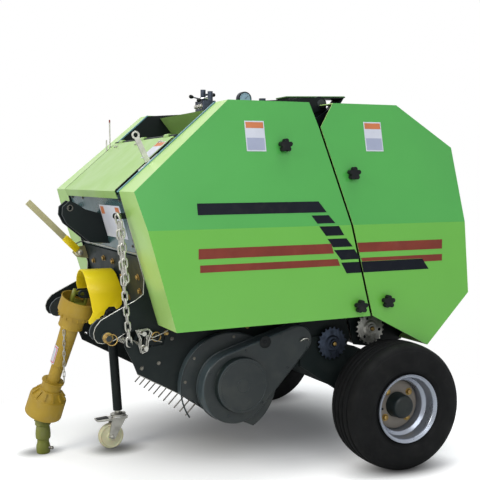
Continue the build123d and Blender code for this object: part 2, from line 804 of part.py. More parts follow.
# Castor stand: bracket, sliding leg, swivelling fork and wheel
stand_plane = Plane(
    origin=STAND,
    x_dir=(cos(radians(STAND_TILT)), 0, -sin(radians(STAND_TILT))),
    z_dir=(sin(radians(STAND_TILT)), 0, cos(radians(STAND_TILT))),
)
STAND_WEB = (
    (990.0, 585.0),
    (990.0, 500.0),
    (930.0, 495.0),
    (800.0, 548.0),
    (800.0, 610 - SEAT),
    (925.0, 610 - SEAT),
    (935.0, 585.0),
)
with BuildPart() as stand_bracket:
    with BuildSketch(stand_plane.offset(-140)):
        Circle(LEG_R + 7)
    extrude(amount=110)
    slab(STAND_WEB, STAND[1] + 20, STAND[1] + 30)
    with BuildSketch(stand_plane.offset(-200)):
        Circle(LEG_R + RUNNING)
    extrude(amount=300, mode=Mode.SUBTRACT)
hand_over(stand_bracket, "stand_bracket")

leg_foot = stand_plane.offset(-LEG_LEN)
with BuildPart() as stand_leg:
    with BuildSketch(leg_foot):
        Circle(LEG_STEM_R)
    extrude(amount=LEG_STEM)
    with BuildSketch(leg_foot.offset(LEG_STEM)):
        Circle(LEG_R)
    extrude(amount=LEG_LEN + LEG_RISE - LEG_STEM)
    with BuildSketch(stand_plane.offset(LEG_RISE - 14)):
        Circle(LEG_R + 6)
    extrude(amount=14)
    with BuildSketch(leg_foot):
        Circle(SWIVEL_R)
    extrude(amount=6)
hand_over(stand_leg, "stand_leg")

CASTOR = (leg_foot.origin.X + CASTOR_TRAIL, STAND[1], CASTOR_R)
with BuildPart() as castor_fork:
    with BuildSketch(leg_foot.offset(-5)):
        Circle(SWIVEL_R)
    extrude(amount=5 - SEAT)
    with BuildSketch(leg_foot.offset(-9)):
        with Locations((PEDAL_END - PEDAL / 2, 0)):
            RectangleRounded(PEDAL, 48, 8)
    extrude(amount=4)
    for y in (-CASTOR_W / 2 - 8, CASTOR_W / 2 + 4):
        low = STAND[1] + y
        foot = leg_foot.offset(-6).origin
        slab(
            (
                (foot.X - 32, foot.Z + 1),
                (foot.X + 32, foot.Z - 2),
                (CASTOR[0] + 14, CASTOR_R - 4),
                (CASTOR[0] - 12, CASTOR_R - 12),
            ),
            low,
            low + 4,
        )
    rod_y((CASTOR[0], CASTOR[2]), 6, CASTOR[1] - 27, CASTOR[1] + 27)
hand_over(castor_fork, "castor_fork")

with BuildPart() as castor_wheel:
    rod_y((CASTOR[0], CASTOR[2]), CASTOR_R, CASTOR[1] - CASTOR_W / 2, CASTOR[1] + CASTOR_W / 2)
    fillet(edges().filter_by(GeomType.CIRCLE), 4)
    rod_y((CASTOR[0], CASTOR[2]), 14, CASTOR[1] - CASTOR_W / 2 - 3, CASTOR[1] + CASTOR_W / 2 + 3)
    cut_y((CASTOR[0], CASTOR[2]), 6 + RUNNING, CASTOR[1] - 30, CASTOR[1] + 30)
hand_over(castor_wheel, "castor_wheel")

# Drive shaft in two telescoping halves, hanging from the fixed yoke
PTO_FALL = -((1 - PTO_LEAN_X**2 - PTO_LEAN_Y**2) ** 0.5)
shaft = Plane(origin=PTO_JOINT, z_dir=(PTO_LEAN_X, PTO_LEAN_Y, PTO_FALL))
cross_axis = Vector(0, 1, 0).cross(shaft.z_dir).normalized()


def shaft_tube(start, end, outer, inner):
    """Length of tube along the drive shaft, measured from its joint."""
    with BuildSketch(shaft.offset(start)) as profile:
        Circle(outer)
        if inner:
            Circle(inner, mode=Mode.SUBTRACT)
    extrude(profile.sketch, amount=end - start)


def shaft_cone(start, end, start_r, end_r, wall):
    """Hollow cone along the drive shaft."""
    with BuildSketch(shaft.offset(start)) as wide:
        Circle(start_r)
    with BuildSketch(shaft.offset(end)) as narrow:
        Circle(end_r)
    loft([wide.sketch, narrow.sketch])
    with BuildSketch(shaft.offset(start)) as wide:
        Circle(start_r - wall)
    with BuildSketch(shaft.offset(end)) as narrow:
        Circle(end_r - wall)
    loft([wide.sketch, narrow.sketch], mode=Mode.SUBTRACT)


with BuildPart() as pto_upper:
    shaft_cone(CUP_END, COLLAR_START, GUARD_R, COLLAR_R, WALL_T)
    rod_y((PTO_JOINT[0], PTO_JOINT[2]), CROSS_R, -YOKE_OUT, YOKE_OUT)
    with BuildSketch(Plane(origin=PTO_JOINT, z_dir=cross_axis).offset(-YOKE_OUT)):
        Circle(CROSS_R)
    extrude(amount=2 * YOKE_OUT)
    yoke_plane = Plane(origin=PTO_JOINT, x_dir=cross_axis, z_dir=shaft.z_dir)
    with BuildSketch(yoke_plane.offset(-14)):
        for place in (-1, 1):
            with Locations((place * (YOKE_IN + YOKE_OUT) / 2, 0)):
                Rectangle(YOKE_OUT - YOKE_IN, 28)
    extrude(amount=60)
    shaft_tube(GUARD_START, CUP_END, GUARD_R, GUARD_R - WALL_T)
    shaft_tube(44, 60, YOKE_OUT, 0)
    shaft_tube(58, COLLAR_START, 16, 0)
    shaft_tube(COLLAR_START - 5, COLLAR_START + 2, COLLAR_R - 2, 0)
    shaft_tube(COLLAR_START, COLLAR_END, COLLAR_R, GUARD_INNER_R + RUNNING)
    shaft_tube(COLLAR_END, UPPER_END, GUARD_TUBE_R, GUARD_INNER_R + RUNNING)
hand_over(pto_upper, "pto_upper")

with BuildPart() as pto_lower:
    shaft_cone(CONE_START, CONE_END, COLLAR_R, LOWER_GUARD_R, WALL_T)
    shaft_tube(INNER_START, CONE_START, GUARD_INNER_R, 0)
    shaft_tube(CONE_END, LOWER_GUARD_END, LOWER_GUARD_R, LOWER_GUARD_R - WALL_T)
    shaft_tube(CONE_START - 45, CONE_START, 46, 0)
    shaft_tube(CONE_START - 2, CONE_START + 3, COLLAR_R - 2, 0)
    shaft_tube(CONE_START, LOWER_JOINT_AT - 20, 18, 0)
    joint = shaft.offset(LOWER_JOINT_AT).origin
    with BuildSketch(shaft.offset(LOWER_JOINT_AT - 45)):
        RectangleRounded(64, 44, 6)
    extrude(amount=45)
    with BuildSketch(Plane.XY.offset(0)):
        with Locations((joint.X, joint.Y)):
            Circle(26)
            Circle(17.5, mode=Mode.SUBTRACT)
    extrude(amount=joint.Z - 40)
    with BuildSketch(Plane.XY.offset(joint.Z - 48)):
        with Locations((joint.X, joint.Y)):
            RectangleRounded(72, 50, 6)
    extrude(amount=52)
hand_over(pto_lower, "pto_lower")

# Hood of the net box, with its knuckles round the hinge rod
HOOD_LINE = (
    (HOOD_HINGE[0] + 6.2, HOOD_HINGE[1] - 4.4),
    (1088.0, 1122.0),
    (1076.0, 1096.0),
)
KNUCKLES = (-300.0, 0.0, 300.0)
with BuildPart() as hood:
    bent_sheet(HOOD_LINE, SHEET, -HOOD_HALF, HOOD_HALF)
    for y in KNUCKLES:
        rod_y(HOOD_HINGE, HOOD_BARREL_R, y - 25, y + 25)
    cut_y(HOOD_HINGE, HOOD_ROD_R + RUNNING, -HOOD_HALF, HOOD_HALF)
hand_over(hood, "hood")

# Gate: side plates with hinge lugs inside the front ears
GATE_OUTLINE = (
    (SPLIT_TOP[0] - GATE_GAP - 2, SPLIT_TOP[1] - 2),
    (262.0, 1400.0),
    (186.0, 1449.0),
    (184.0, 1458.0),
    (-58.0, 1458.0),
    (-306.0, 1288.0),
    (-330.0, 990.0),
    (-356.0, 690.0),
    (-168.0, 476.0),
    (-20.0, 455.0),
    (68.0, 470.0),
    (SPLIT_LOW[0] - GATE_GAP - 2, SPLIT_LOW[1]),
    (SPLIT_MID[0] - GATE_GAP - 2, SPLIT_MID[1]),
)
LUG_OUTLINE = (
    (HINGE[0] - 30, HINGE[1]),
    (HINGE[0] + 30, HINGE[1]),
    (250.0, 1372.0),
    (175.0, 1372.0),
)
LUG_PAD = ((250.0, 1372.0), (250.0, 1398.0), (175.0, 1440.0), (175.0, 1372.0))
for side, sign in SIDES:
    with BuildPart() as gate_side:
        slab(GATE_OUTLINE, PLATE_IN, PLATE_OUT)
        slab(LUG_OUTLINE, LUG_OUT - LUG_T, LUG_OUT)
        rod_y(HINGE, 30, LUG_OUT - LUG_T, LUG_OUT)
        slab(LUG_PAD, LUG_OUT, PLATE_IN)
        gate_hinge_bore(HINGE_R + RUNNING, LUG_OUT - LUG_T, LUG_OUT)
        rod_y(CYL_GATE, 18, PLATE_OUT, CYL_Y - EYE_HALF - 5)
        mirrored(sign)
    hand_over(gate_side, f"gate_side_{side}")

GATE_BEAMS = (
    (125.0, 1432.0, 40.0),
    (-45.0, 1425.0, 50.0),
    (-285.0, 1165.0, 50.0),
    (-195.0, 560.0, 40.0),
)
STRAP_LINE = (
    (133.0, 1452.0),
    (200.0, 1522.0),
    (-97.0, 1531.0),
    (-40.0, 1450.0),
)
STRAP_HALF = 50.0
with BuildPart() as gate_beams:
    for x, z, size in GATE_BEAMS:
        with BuildSketch(side_plane(PLATE_IN - SEAT)):
            with Locations((x, z)):
                RectangleRounded(size, size, size / 8)
        extrude(amount=2 * (PLATE_IN - SEAT))
    bent_sheet(STRAP_LINE, 4, -STRAP_HALF, STRAP_HALF)
hand_over(gate_beams, "gate_beams")

with BuildPart() as gate_rollers:
    rollers(GATE_ROLLER_ANGLES)
hand_over(gate_rollers, "gate_rollers")

with BuildPart() as gate_sprocket:
    sprocket(polar(CHAMBER, ROLLER_CIRCLE, GATE_ROLLER_ANGLES[-1]), PLATE_OUT + SEAT)
hand_over(gate_sprocket, "gate_sprocket")

for side, sign in SIDES:
    with BuildPart() as cover:
        cover_shell(
            GATE_COVER,
            ("low_front", "crease", "notch", "toe"),
            GATE_KNOBS,
        )
        with BuildSketch(side_plane(COVER_IN + EAR_NOTCH)):
            with Locations((HINGE[0] - 7, HINGE[1] - 12)):
                Rectangle(50, 30)
        extrude(amount=EAR_NOTCH, mode=Mode.SUBTRACT)
        mirrored(sign)
    hand_over(cover, f"gate_cover_{side}")

with BuildPart() as gate_knobs:
    knobs(GATE_KNOBS)
hand_over(gate_knobs, "gate_knobs")

# Tailgate cylinders, drawn closed
cyl_way = Vector(CYL_GATE[0] - CYL_FRONT[0], 0, CYL_GATE[1] - CYL_FRONT[1])
cyl_side = Vector(0, 1, 0).cross(cyl_way)
CYL_CLOSED = cyl_way.length
for side, sign in SIDES:
    along = Plane(origin=(CYL_FRONT[0], CYL_Y, CYL_FRONT[1]), x_dir=cyl_side, z_dir=cyl_way)
    with BuildPart() as barrel:
        rod_y(CYL_FRONT, 24, CYL_Y - EYE_HALF, CYL_Y + EYE_HALF)
        with BuildSketch(along):
            Rectangle(36, 2 * EYE_HALF)
        extrude(amount=BARREL_START + 2)
        with BuildSketch(along.offset(BARREL_START)):
            Circle(BARREL_R)
        extrude(amount=BARREL_LEN - BARREL_START)
        with BuildSketch(along.offset(BARREL_LEN - 30)):
            Circle(BARREL_R + 4)
        extrude(amount=30)
        with BuildSketch(along.offset(60)):
            Circle(ROD_R + RUNNING)
        extrude(amount=BARREL_LEN, mode=Mode.SUBTRACT)
        cut_y(CYL_FRONT, CYL_PIN_R + RUNNING, CYL_Y - 40, CYL_Y + 40)
        mirrored(sign)
    hand_over(barrel, f"cylinder_barrel_{side}")

    with BuildPart() as rod:
        with BuildSketch(along.offset(66)):
            Circle(ROD_R)
        extrude(amount=CYL_CLOSED - 66)
        rod_y(CYL_GATE, 20, CYL_Y - EYE_HALF, CYL_Y + EYE_HALF)
        cut_y(CYL_GATE, CYL_PIN_R, CYL_Y - 40, CYL_Y + 40)
        mirrored(sign)
    hand_over(rod, f"cylinder_rod_{side}")

# Hand lever on its bracket, front right
LEVER_Y = -350.0
LEVER_PIVOT = (1034.0, 838.0)
LEVER_TIP = (1264.0, 1070.0)
lever_way = unit((LEVER_TIP[0] - LEVER_PIVOT[0], 0, LEVER_TIP[1] - LEVER_PIVOT[1]))
with BuildPart() as hand_lever:
    slab(
        ((986.2, 808), (1002.6, 867), (1040, 862), (1060, 838), (1040, 816)),
        -PLATE_IN + SEAT,
        -PLATE_IN + SEAT + 8,
    )
    rod_y(LEVER_PIVOT, 16, -PLATE_IN + SEAT + 8, LEVER_Y + 8)
    with BuildSketch(Plane(origin=(LEVER_PIVOT[0], LEVER_Y, LEVER_PIVOT[1]), z_dir=lever_way)):
        Rectangle(28, 8)
    extrude(amount=hypot(LEVER_TIP[0] - LEVER_PIVOT[0], LEVER_TIP[1] - LEVER_PIVOT[1]))
hand_over(hand_lever, "hand_lever")

# Small levers beside the hood: the latch on the left, two rods on the right
LATCH_FOOT = (962.0, 1232.0)
LATCH_TOP = (1008.0, 1330.0)
RODS_X = (876.0, 892.0)
with BuildPart() as hood_levers:
    slab(((1000, 1178), (1000, 1200), (925, 1262), (925, 1235)), 393, PLATE_IN - SEAT)
    way = unit((LATCH_TOP[0] - LATCH_FOOT[0], 0, LATCH_TOP[1] - LATCH_FOOT[1]))
    with BuildSketch(Plane(origin=(LATCH_FOOT[0], 395.5, LATCH_FOOT[1]), x_dir=(0, 1, 0), z_dir=way)):
        Rectangle(5, 20)
    extrude(amount=hypot(LATCH_TOP[0] - LATCH_FOOT[0], LATCH_TOP[1] - LATCH_FOOT[1]))
    rod_y(LATCH_TOP, 15, 393, 398)
    cut_y(LATCH_TOP, 9, 392, 399)
    slab(((866, 1262), (902, 1240), (902, 1276), (866, 1300)), -PLATE_IN + SEAT, -393)
    for x, top in zip(RODS_X, (1435.0, 1345.0)):
        with BuildSketch(Plane.XY.offset(1262)):
            with Locations((x, -396.3)):
                Circle(3)
        extrude(amount=top - 1262)
hand_over(hood_levers, "hood_levers")

# Hydraulic valve, its hoses and the pressure gauge on the roof
ROOF_Z = 1449.0
VALVE = (590.0, 60.0)
GAUGE = (470.0, 200.0, 1496.0)
GAUGE_R = 30.0
with BuildPart() as valve_group:
    with BuildSketch(Plane.XY.offset(ROOF_Z + SEAT)):
        with Locations(VALVE):
            RectangleRounded(60, 90, 6)
    extrude(amount=44)
    for x, y, top in ((580, 35, 34), (600, 60, 48), (580, 90, 40)):
        with BuildSketch(Plane.XY.offset(ROOF_Z + 44)):
            with Locations((x, y)):
                Circle(11)
        extrude(amount=top)
    with BuildSketch(Plane.XY.offset(ROOF_Z + SEAT)):
        with Locations((GAUGE[0], GAUGE[1] - 14)):
            Circle(7)
        with Locations((390, GAUGE[1])):
            Circle(6)
    extrude(amount=GAUGE[2] - ROOF_Z - 10)
    rod_y((GAUGE[0], GAUGE[2]), GAUGE_R, GAUGE[1] - 24, GAUGE[1])
    with BuildSketch(Plane.XY.offset(GAUGE[2] - 12)):
        with Locations((390, GAUGE[1])):
            Circle(14)
    extrude(amount=16)
hand_over(valve_group, "valve_group")

# Chain that holds the pickup
chain_way = Vector(*CHAIN_FOOT) - Vector(*CHAIN_TOP)
opening = chain_way.length / LINK_COUNT + SEAT
with BuildPart() as lift_chain:
    for index in range(LINK_COUNT):
        middle = Vector(*CHAIN_TOP) + chain_way * ((index + 0.5) / LINK_COUNT)
        face_dir = Vector(0, 1, 0).cross(chain_way) if index % 2 else Vector(0, 1, 0)
        link = Plane(origin=middle, x_dir=chain_way, z_dir=face_dir)
        with BuildSketch(link.offset(-LINK_WIRE / 2)):
            SlotOverall(opening + 2 * LINK_WIRE, LINK_W)
            SlotOverall(opening, LINK_W - 2 * LINK_WIRE, mode=Mode.SUBTRACT)
        extrude(amount=LINK_WIRE)
hand_over(lift_chain, "lift_chain")
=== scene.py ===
import json
import logging
from collections.abc import Iterator
from contextlib import contextmanager
from dataclasses import dataclass, replace
from enum import Enum
from functools import cache
from math import atan2, cos, hypot, pi, radians, sin, sqrt

import bpy
from mathutils import Matrix, Vector


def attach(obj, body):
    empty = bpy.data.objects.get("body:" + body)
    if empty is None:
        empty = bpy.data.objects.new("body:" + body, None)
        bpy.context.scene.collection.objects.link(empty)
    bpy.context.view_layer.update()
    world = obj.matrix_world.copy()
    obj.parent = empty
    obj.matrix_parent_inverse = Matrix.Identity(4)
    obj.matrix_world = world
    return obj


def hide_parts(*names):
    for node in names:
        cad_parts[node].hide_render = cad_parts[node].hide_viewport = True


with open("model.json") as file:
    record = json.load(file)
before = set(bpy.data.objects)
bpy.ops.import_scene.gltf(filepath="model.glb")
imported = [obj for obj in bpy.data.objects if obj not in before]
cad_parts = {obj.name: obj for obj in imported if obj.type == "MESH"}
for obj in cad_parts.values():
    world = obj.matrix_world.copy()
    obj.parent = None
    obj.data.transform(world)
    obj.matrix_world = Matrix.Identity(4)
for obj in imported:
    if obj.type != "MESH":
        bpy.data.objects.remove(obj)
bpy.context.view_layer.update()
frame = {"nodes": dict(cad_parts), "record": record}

logging.basicConfig(level=logging.INFO, format="%(message)s")
LOG = logging.getLogger("baler")

Flat = tuple[float, float]
Spot = tuple[float, float, float] | Vector
Tone = tuple[int, int, int]
Line = list[Flat]
Object = bpy.types.Object
Socket = bpy.types.NodeSocket

MM = 0.001
AXLE_X = -484.5
LEFT, RIGHT, AHEAD, UP = (0, 1, 0), (0, -1, 0), (1, 0, 0), (0, 0, 1)
WHITE = (1.0, 1.0, 1.0, 1.0)
SIDES = (("_left", 1), ("_right", -1))
PLATE_Y = 408.0
PICKUP_PLATE_Y = 414.3


class Body(str, Enum):
    """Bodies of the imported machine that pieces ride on."""

    FRAME = "frame"
    GATE = "tailgate"
    WHEEL_LEFT = "wheel_left"
    WHEEL_RIGHT = "wheel_right"
    LID = "lid"
    LEG = "leg"
    FORK = "fork"
    CASTOR = "castor"
    SHAFT_UPPER = "shaft_upper"
    SHAFT_LOWER = "shaft_lower"


class Slot(str, Enum):
    """Material slots of the record."""

    BLACK = "black_paint"
    GREEN = "green_paint"
    PALE_GREEN = "pale_green_paint"
    YELLOW = "yellow_paint"
    OLIVE = "olive_paint"
    SILVER = "silver_paint"
    ZINC = "zinc"
    STEEL = "bare_steel"
    CHROME = "chrome_rod"
    VALVE = "valve_metal"
    BLACK_PLASTIC = "black_plastic"
    OCHRE = "ochre_plastic"
    NYLON = "nylon"
    RUBBER = "tyre_rubber"


def place(spot: Spot, sign: int = 1) -> Vector:
    """Turn a point of the machine into Blender's frame.

    Args:
        spot: Millimetres ahead of the axle, to the left and above the ground.
        sign: -1 for the point's twin on the right side.

    Returns:
        The point in metres.
    """
    return Vector(((spot[0] + AXLE_X) * MM, sign * spot[1] * MM, spot[2] * MM))


def sided(way: Spot, sign: int) -> Vector:
    """Give a direction, or its twin on the right side."""
    return Vector((way[0], sign * way[1], way[2]))


def polar(centre: Flat, radius: float, angle: float) -> Flat:
    """Find a point on a circle in the XZ plane, its angle in radians from +X."""
    return (centre[0] + radius * cos(angle), centre[1] + radius * sin(angle))


def linear(tone: Tone) -> tuple[float, float, float, float]:
    """Turn a screen colour of 0 to 255 into a linear colour."""
    shares = [channel / 255 for channel in tone]
    return (*(s / 12.92 if s <= 0.04045 else ((s + 0.055) / 1.055) ** 2.4 for s in shares), 1.0)


@dataclass
class Brush:
    """Lays the nodes of a material or of the world."""

    tree: bpy.types.NodeTree

    def lead(self, value: object, socket: Socket) -> None:
        """Link a socket to another, or set its value."""
        if isinstance(value, Socket):
            self.tree.links.new(value, socket)
        else:
            socket.default_value = value

    def node(self, kind: str, values: dict[str | int, object], out: str | int = 0, **settings: str) -> Socket:
        """Add a node.

        Args:
            kind: Its type.
            values: What goes into its inputs: sockets or constants.
            out: Which output is wanted.
            settings: The node's own settings.

        Returns:
            The wanted output.
        """
        node = self.tree.nodes.new("ShaderNode" + kind)
        for name, setting in settings.items():
            setattr(node, name, setting)
        for key, value in values.items():
            self.lead(value, node.inputs[key])
        return node.outputs[out]

    def coordinates(self, kind: str, **values: Spot) -> Socket:
        """Take the object's own coordinates or normal, stretched and moved."""
        source = self.node("TexCoord", {}, kind)
        return self.node("Mapping", {"Vector": source, **{k.title(): v for k, v in values.items()}})

    def noise(self, scale: float, detail: float, stretch: Spot = (1, 1, 1)) -> Socket:
        """Add noise, its scale in features per metre."""
        around = self.coordinates("Object", scale=stretch)
        return self.node("TexNoise", {"Vector": around, "Scale": scale, "Detail": detail})

    def ranged(self, source: Socket, low: float, high: float, to_low: float = 0.0, to_high: float = 1.0) -> Socket:
        """Map a value from one range to another, held at its ends."""
        ends = {"From Min": low, "From Max": high, "To Min": to_low, "To Max": to_high}
        return self.node("MapRange", {"Value": source, **ends}, interpolation_type="SMOOTHSTEP")

    def axis(self, kind: str, letter: str) -> Socket:
        """Take one axis of the object's coordinates or of its normal."""
        return self.node("SeparateXYZ", {"Vector": self.node("TexCoord", {}, kind)}, letter)

    def away(self, centre: Flat, reach: Flat) -> Socket:
        """Measure the distance from a centre on the floor, 1 on the ellipse of its reach."""
        scale = (1 / reach[0], 1 / reach[1], 0)
        offset = (-centre[0] / reach[0], -centre[1] / reach[1], 0)
        around = self.coordinates("Object", scale=scale, location=offset)
        return self.node("VectorMath", {0: around}, "Value", operation="LENGTH")

    def math(self, operation: str, first: Socket, second: Socket) -> Socket:
        """Join two values by an operation."""
        return self.node("Math", {0: first, 1: second}, operation=operation)

    def blended(self, factor: Socket, first: Tone | Socket, second: Tone | Socket) -> Socket:
        """Mix two colours, each a tone or a socket."""
        colours = [linear(c) if isinstance(c, tuple) else c for c in (first, second)]
        return self.node("Mix", {"Factor": factor, 6: colours[0], 7: colours[1]}, 2, data_type="RGBA")

    def relief(self, height: Socket, strength: float, depth: float) -> None:
        """Add a bump, on top of any bump that is there."""
        normal = self.tree.nodes["Principled BSDF"].inputs["Normal"]
        values = {"Height": height, "Strength": strength, "Distance": depth}
        if normal.links:
            values["Normal"] = normal.links[0].from_socket
        self.lead(self.node("Bump", values), normal)

    def surface(self, values: dict[str, object]) -> None:
        """Lead values and colours into the shader."""
        for name, value in values.items():
            self.lead(value, self.tree.nodes["Principled BSDF"].inputs[name])


class Coating:
    """Surface that can be laid on a piece."""

    name: str

    def lay(self, brush: Brush) -> None:
        """Lay the coating's nodes."""
        raise NotImplementedError

    def make(self) -> bpy.types.Material:
        """Make the coating's material."""
        made = bpy.data.materials.new(self.name)
        made.use_nodes = True
        self.lay(Brush(made.node_tree))
        return made


@dataclass(frozen=True)
class Paint(Coating):
    """Gloss or satin paint on steel, with a painted highlight on faces turned forward and up, painted light on faces
    turned down, dust and orange peel.
    """

    name: str
    tone: Tone
    shade: Tone
    lit_tone: Tone
    dust: Tone = (128, 124, 108)
    under: Tone | None = None
    rough: float = 0.3
    coat: float = 0.3
    highlight_share: float = 0.5
    dust_share: float = 0.25
    metal: float = 0.0
    gloss: float = 0.5

    def lay(self, brush: Brush) -> None:
        """Lay clouded paint, with a painted highlight where it faces forward and where it faces up, painted light on
        downward faces where an under tone is given, and dusty near the ground.
        """
        colour = brush.blended(brush.ranged(brush.noise(2.2, 4), 0.35, 0.65), self.tone, self.shade)
        # Painted light: faces turned down take the under tone, a lighter tint standing in for light from below.
        if self.under is not None:
            facing_up = brush.ranged(brush.axis("Normal", "Z"), 0.03, 0.15)
            colour = brush.blended(facing_up, self.under, colour)
        # Painted highlight: faces turned forward and faces turned up are blended towards the lit tone.
        ahead = brush.ranged(brush.axis("Normal", "X"), 0.35, 0.85, 0.0, self.highlight_share)
        above = brush.ranged(brush.axis("Normal", "Z"), 0.3, 0.8, 0.0, self.highlight_share)
        for facing in (ahead, above):
            colour = brush.blended(facing, colour, self.lit_tone)
        low = brush.ranged(brush.axis("Object", "Z"), 0.15, 0.85, self.dust_share, 0.0)
        patchy = brush.ranged(brush.noise(17, 6), 0.42, 0.7, 0.15)
        brush.surface({
            "Base Color": brush.blended(brush.math("MULTIPLY", low, patchy), colour, self.dust),
            "Roughness": brush.ranged(brush.noise(9, 5), 0.3, 0.75, self.rough, self.rough + 0.16),
            "Coat Weight": self.coat, "Coat Roughness": 0.12,
            "Metallic": self.metal, "Specular IOR Level": self.gloss,
        })
        brush.relief(brush.noise(260, 2), 0.05, 0.0006)
        brush.relief(brush.noise(5, 1), 0.04, 0.01)


@dataclass(frozen=True)
class Metal(Coating):
    """Bare, plated or polished metal with stains and fine marks."""

    name: str
    tone: Tone
    stain: Tone
    rough: float
    stain_share: float = 0.6
    marks: Spot = (1, 1, 1)
    spots: float = 30.0

    def lay(self, brush: Brush) -> None:
        """Lay stained metal with fine marks."""
        stained = brush.ranged(brush.noise(self.spots, 6), 0.42, 0.72, 0.0, self.stain_share)
        worn = brush.ranged(brush.noise(60, 4, self.marks), 0.3, 0.7, self.rough, self.rough + 0.2)
        brush.surface({
            "Base Color": brush.blended(stained, self.tone, self.stain), "Roughness": worn, "Metallic": 1.0,
        })
        brush.relief(brush.noise(420, 3, self.marks), 0.12, 0.0004)


@dataclass(frozen=True)
class Moulded(Coating):
    """Moulded plastic, nylon, vinyl or rubber with a fine grain."""

    name: str
    tone: Tone
    shade: Tone
    rough: float
    dust_share: float
    grain_strength: float = 0.1
    gloss: float = 0.5
    dust: Tone = (150, 146, 130)
    grain: float = 300.0
    glow_through: float = 0.0

    def lay(self, brush: Brush) -> None:
        """Lay a clouded, grained and slightly dusty surface."""
        colour = brush.blended(brush.ranged(brush.noise(8, 4), 0.35, 0.65), self.tone, self.shade)
        dusty = brush.ranged(brush.noise(26, 6), 0.48, 0.78, 0.0, self.dust_share)
        brush.surface({
            "Base Color": brush.blended(dusty, colour, self.dust),
            "Roughness": brush.ranged(brush.noise(14, 4), 0.3, 0.7, self.rough, self.rough + 0.15),
            "Subsurface Weight": self.glow_through, "Specular IOR Level": self.gloss,
        })
        brush.relief(brush.noise(self.grain, 3), self.grain_strength, 0.0005)


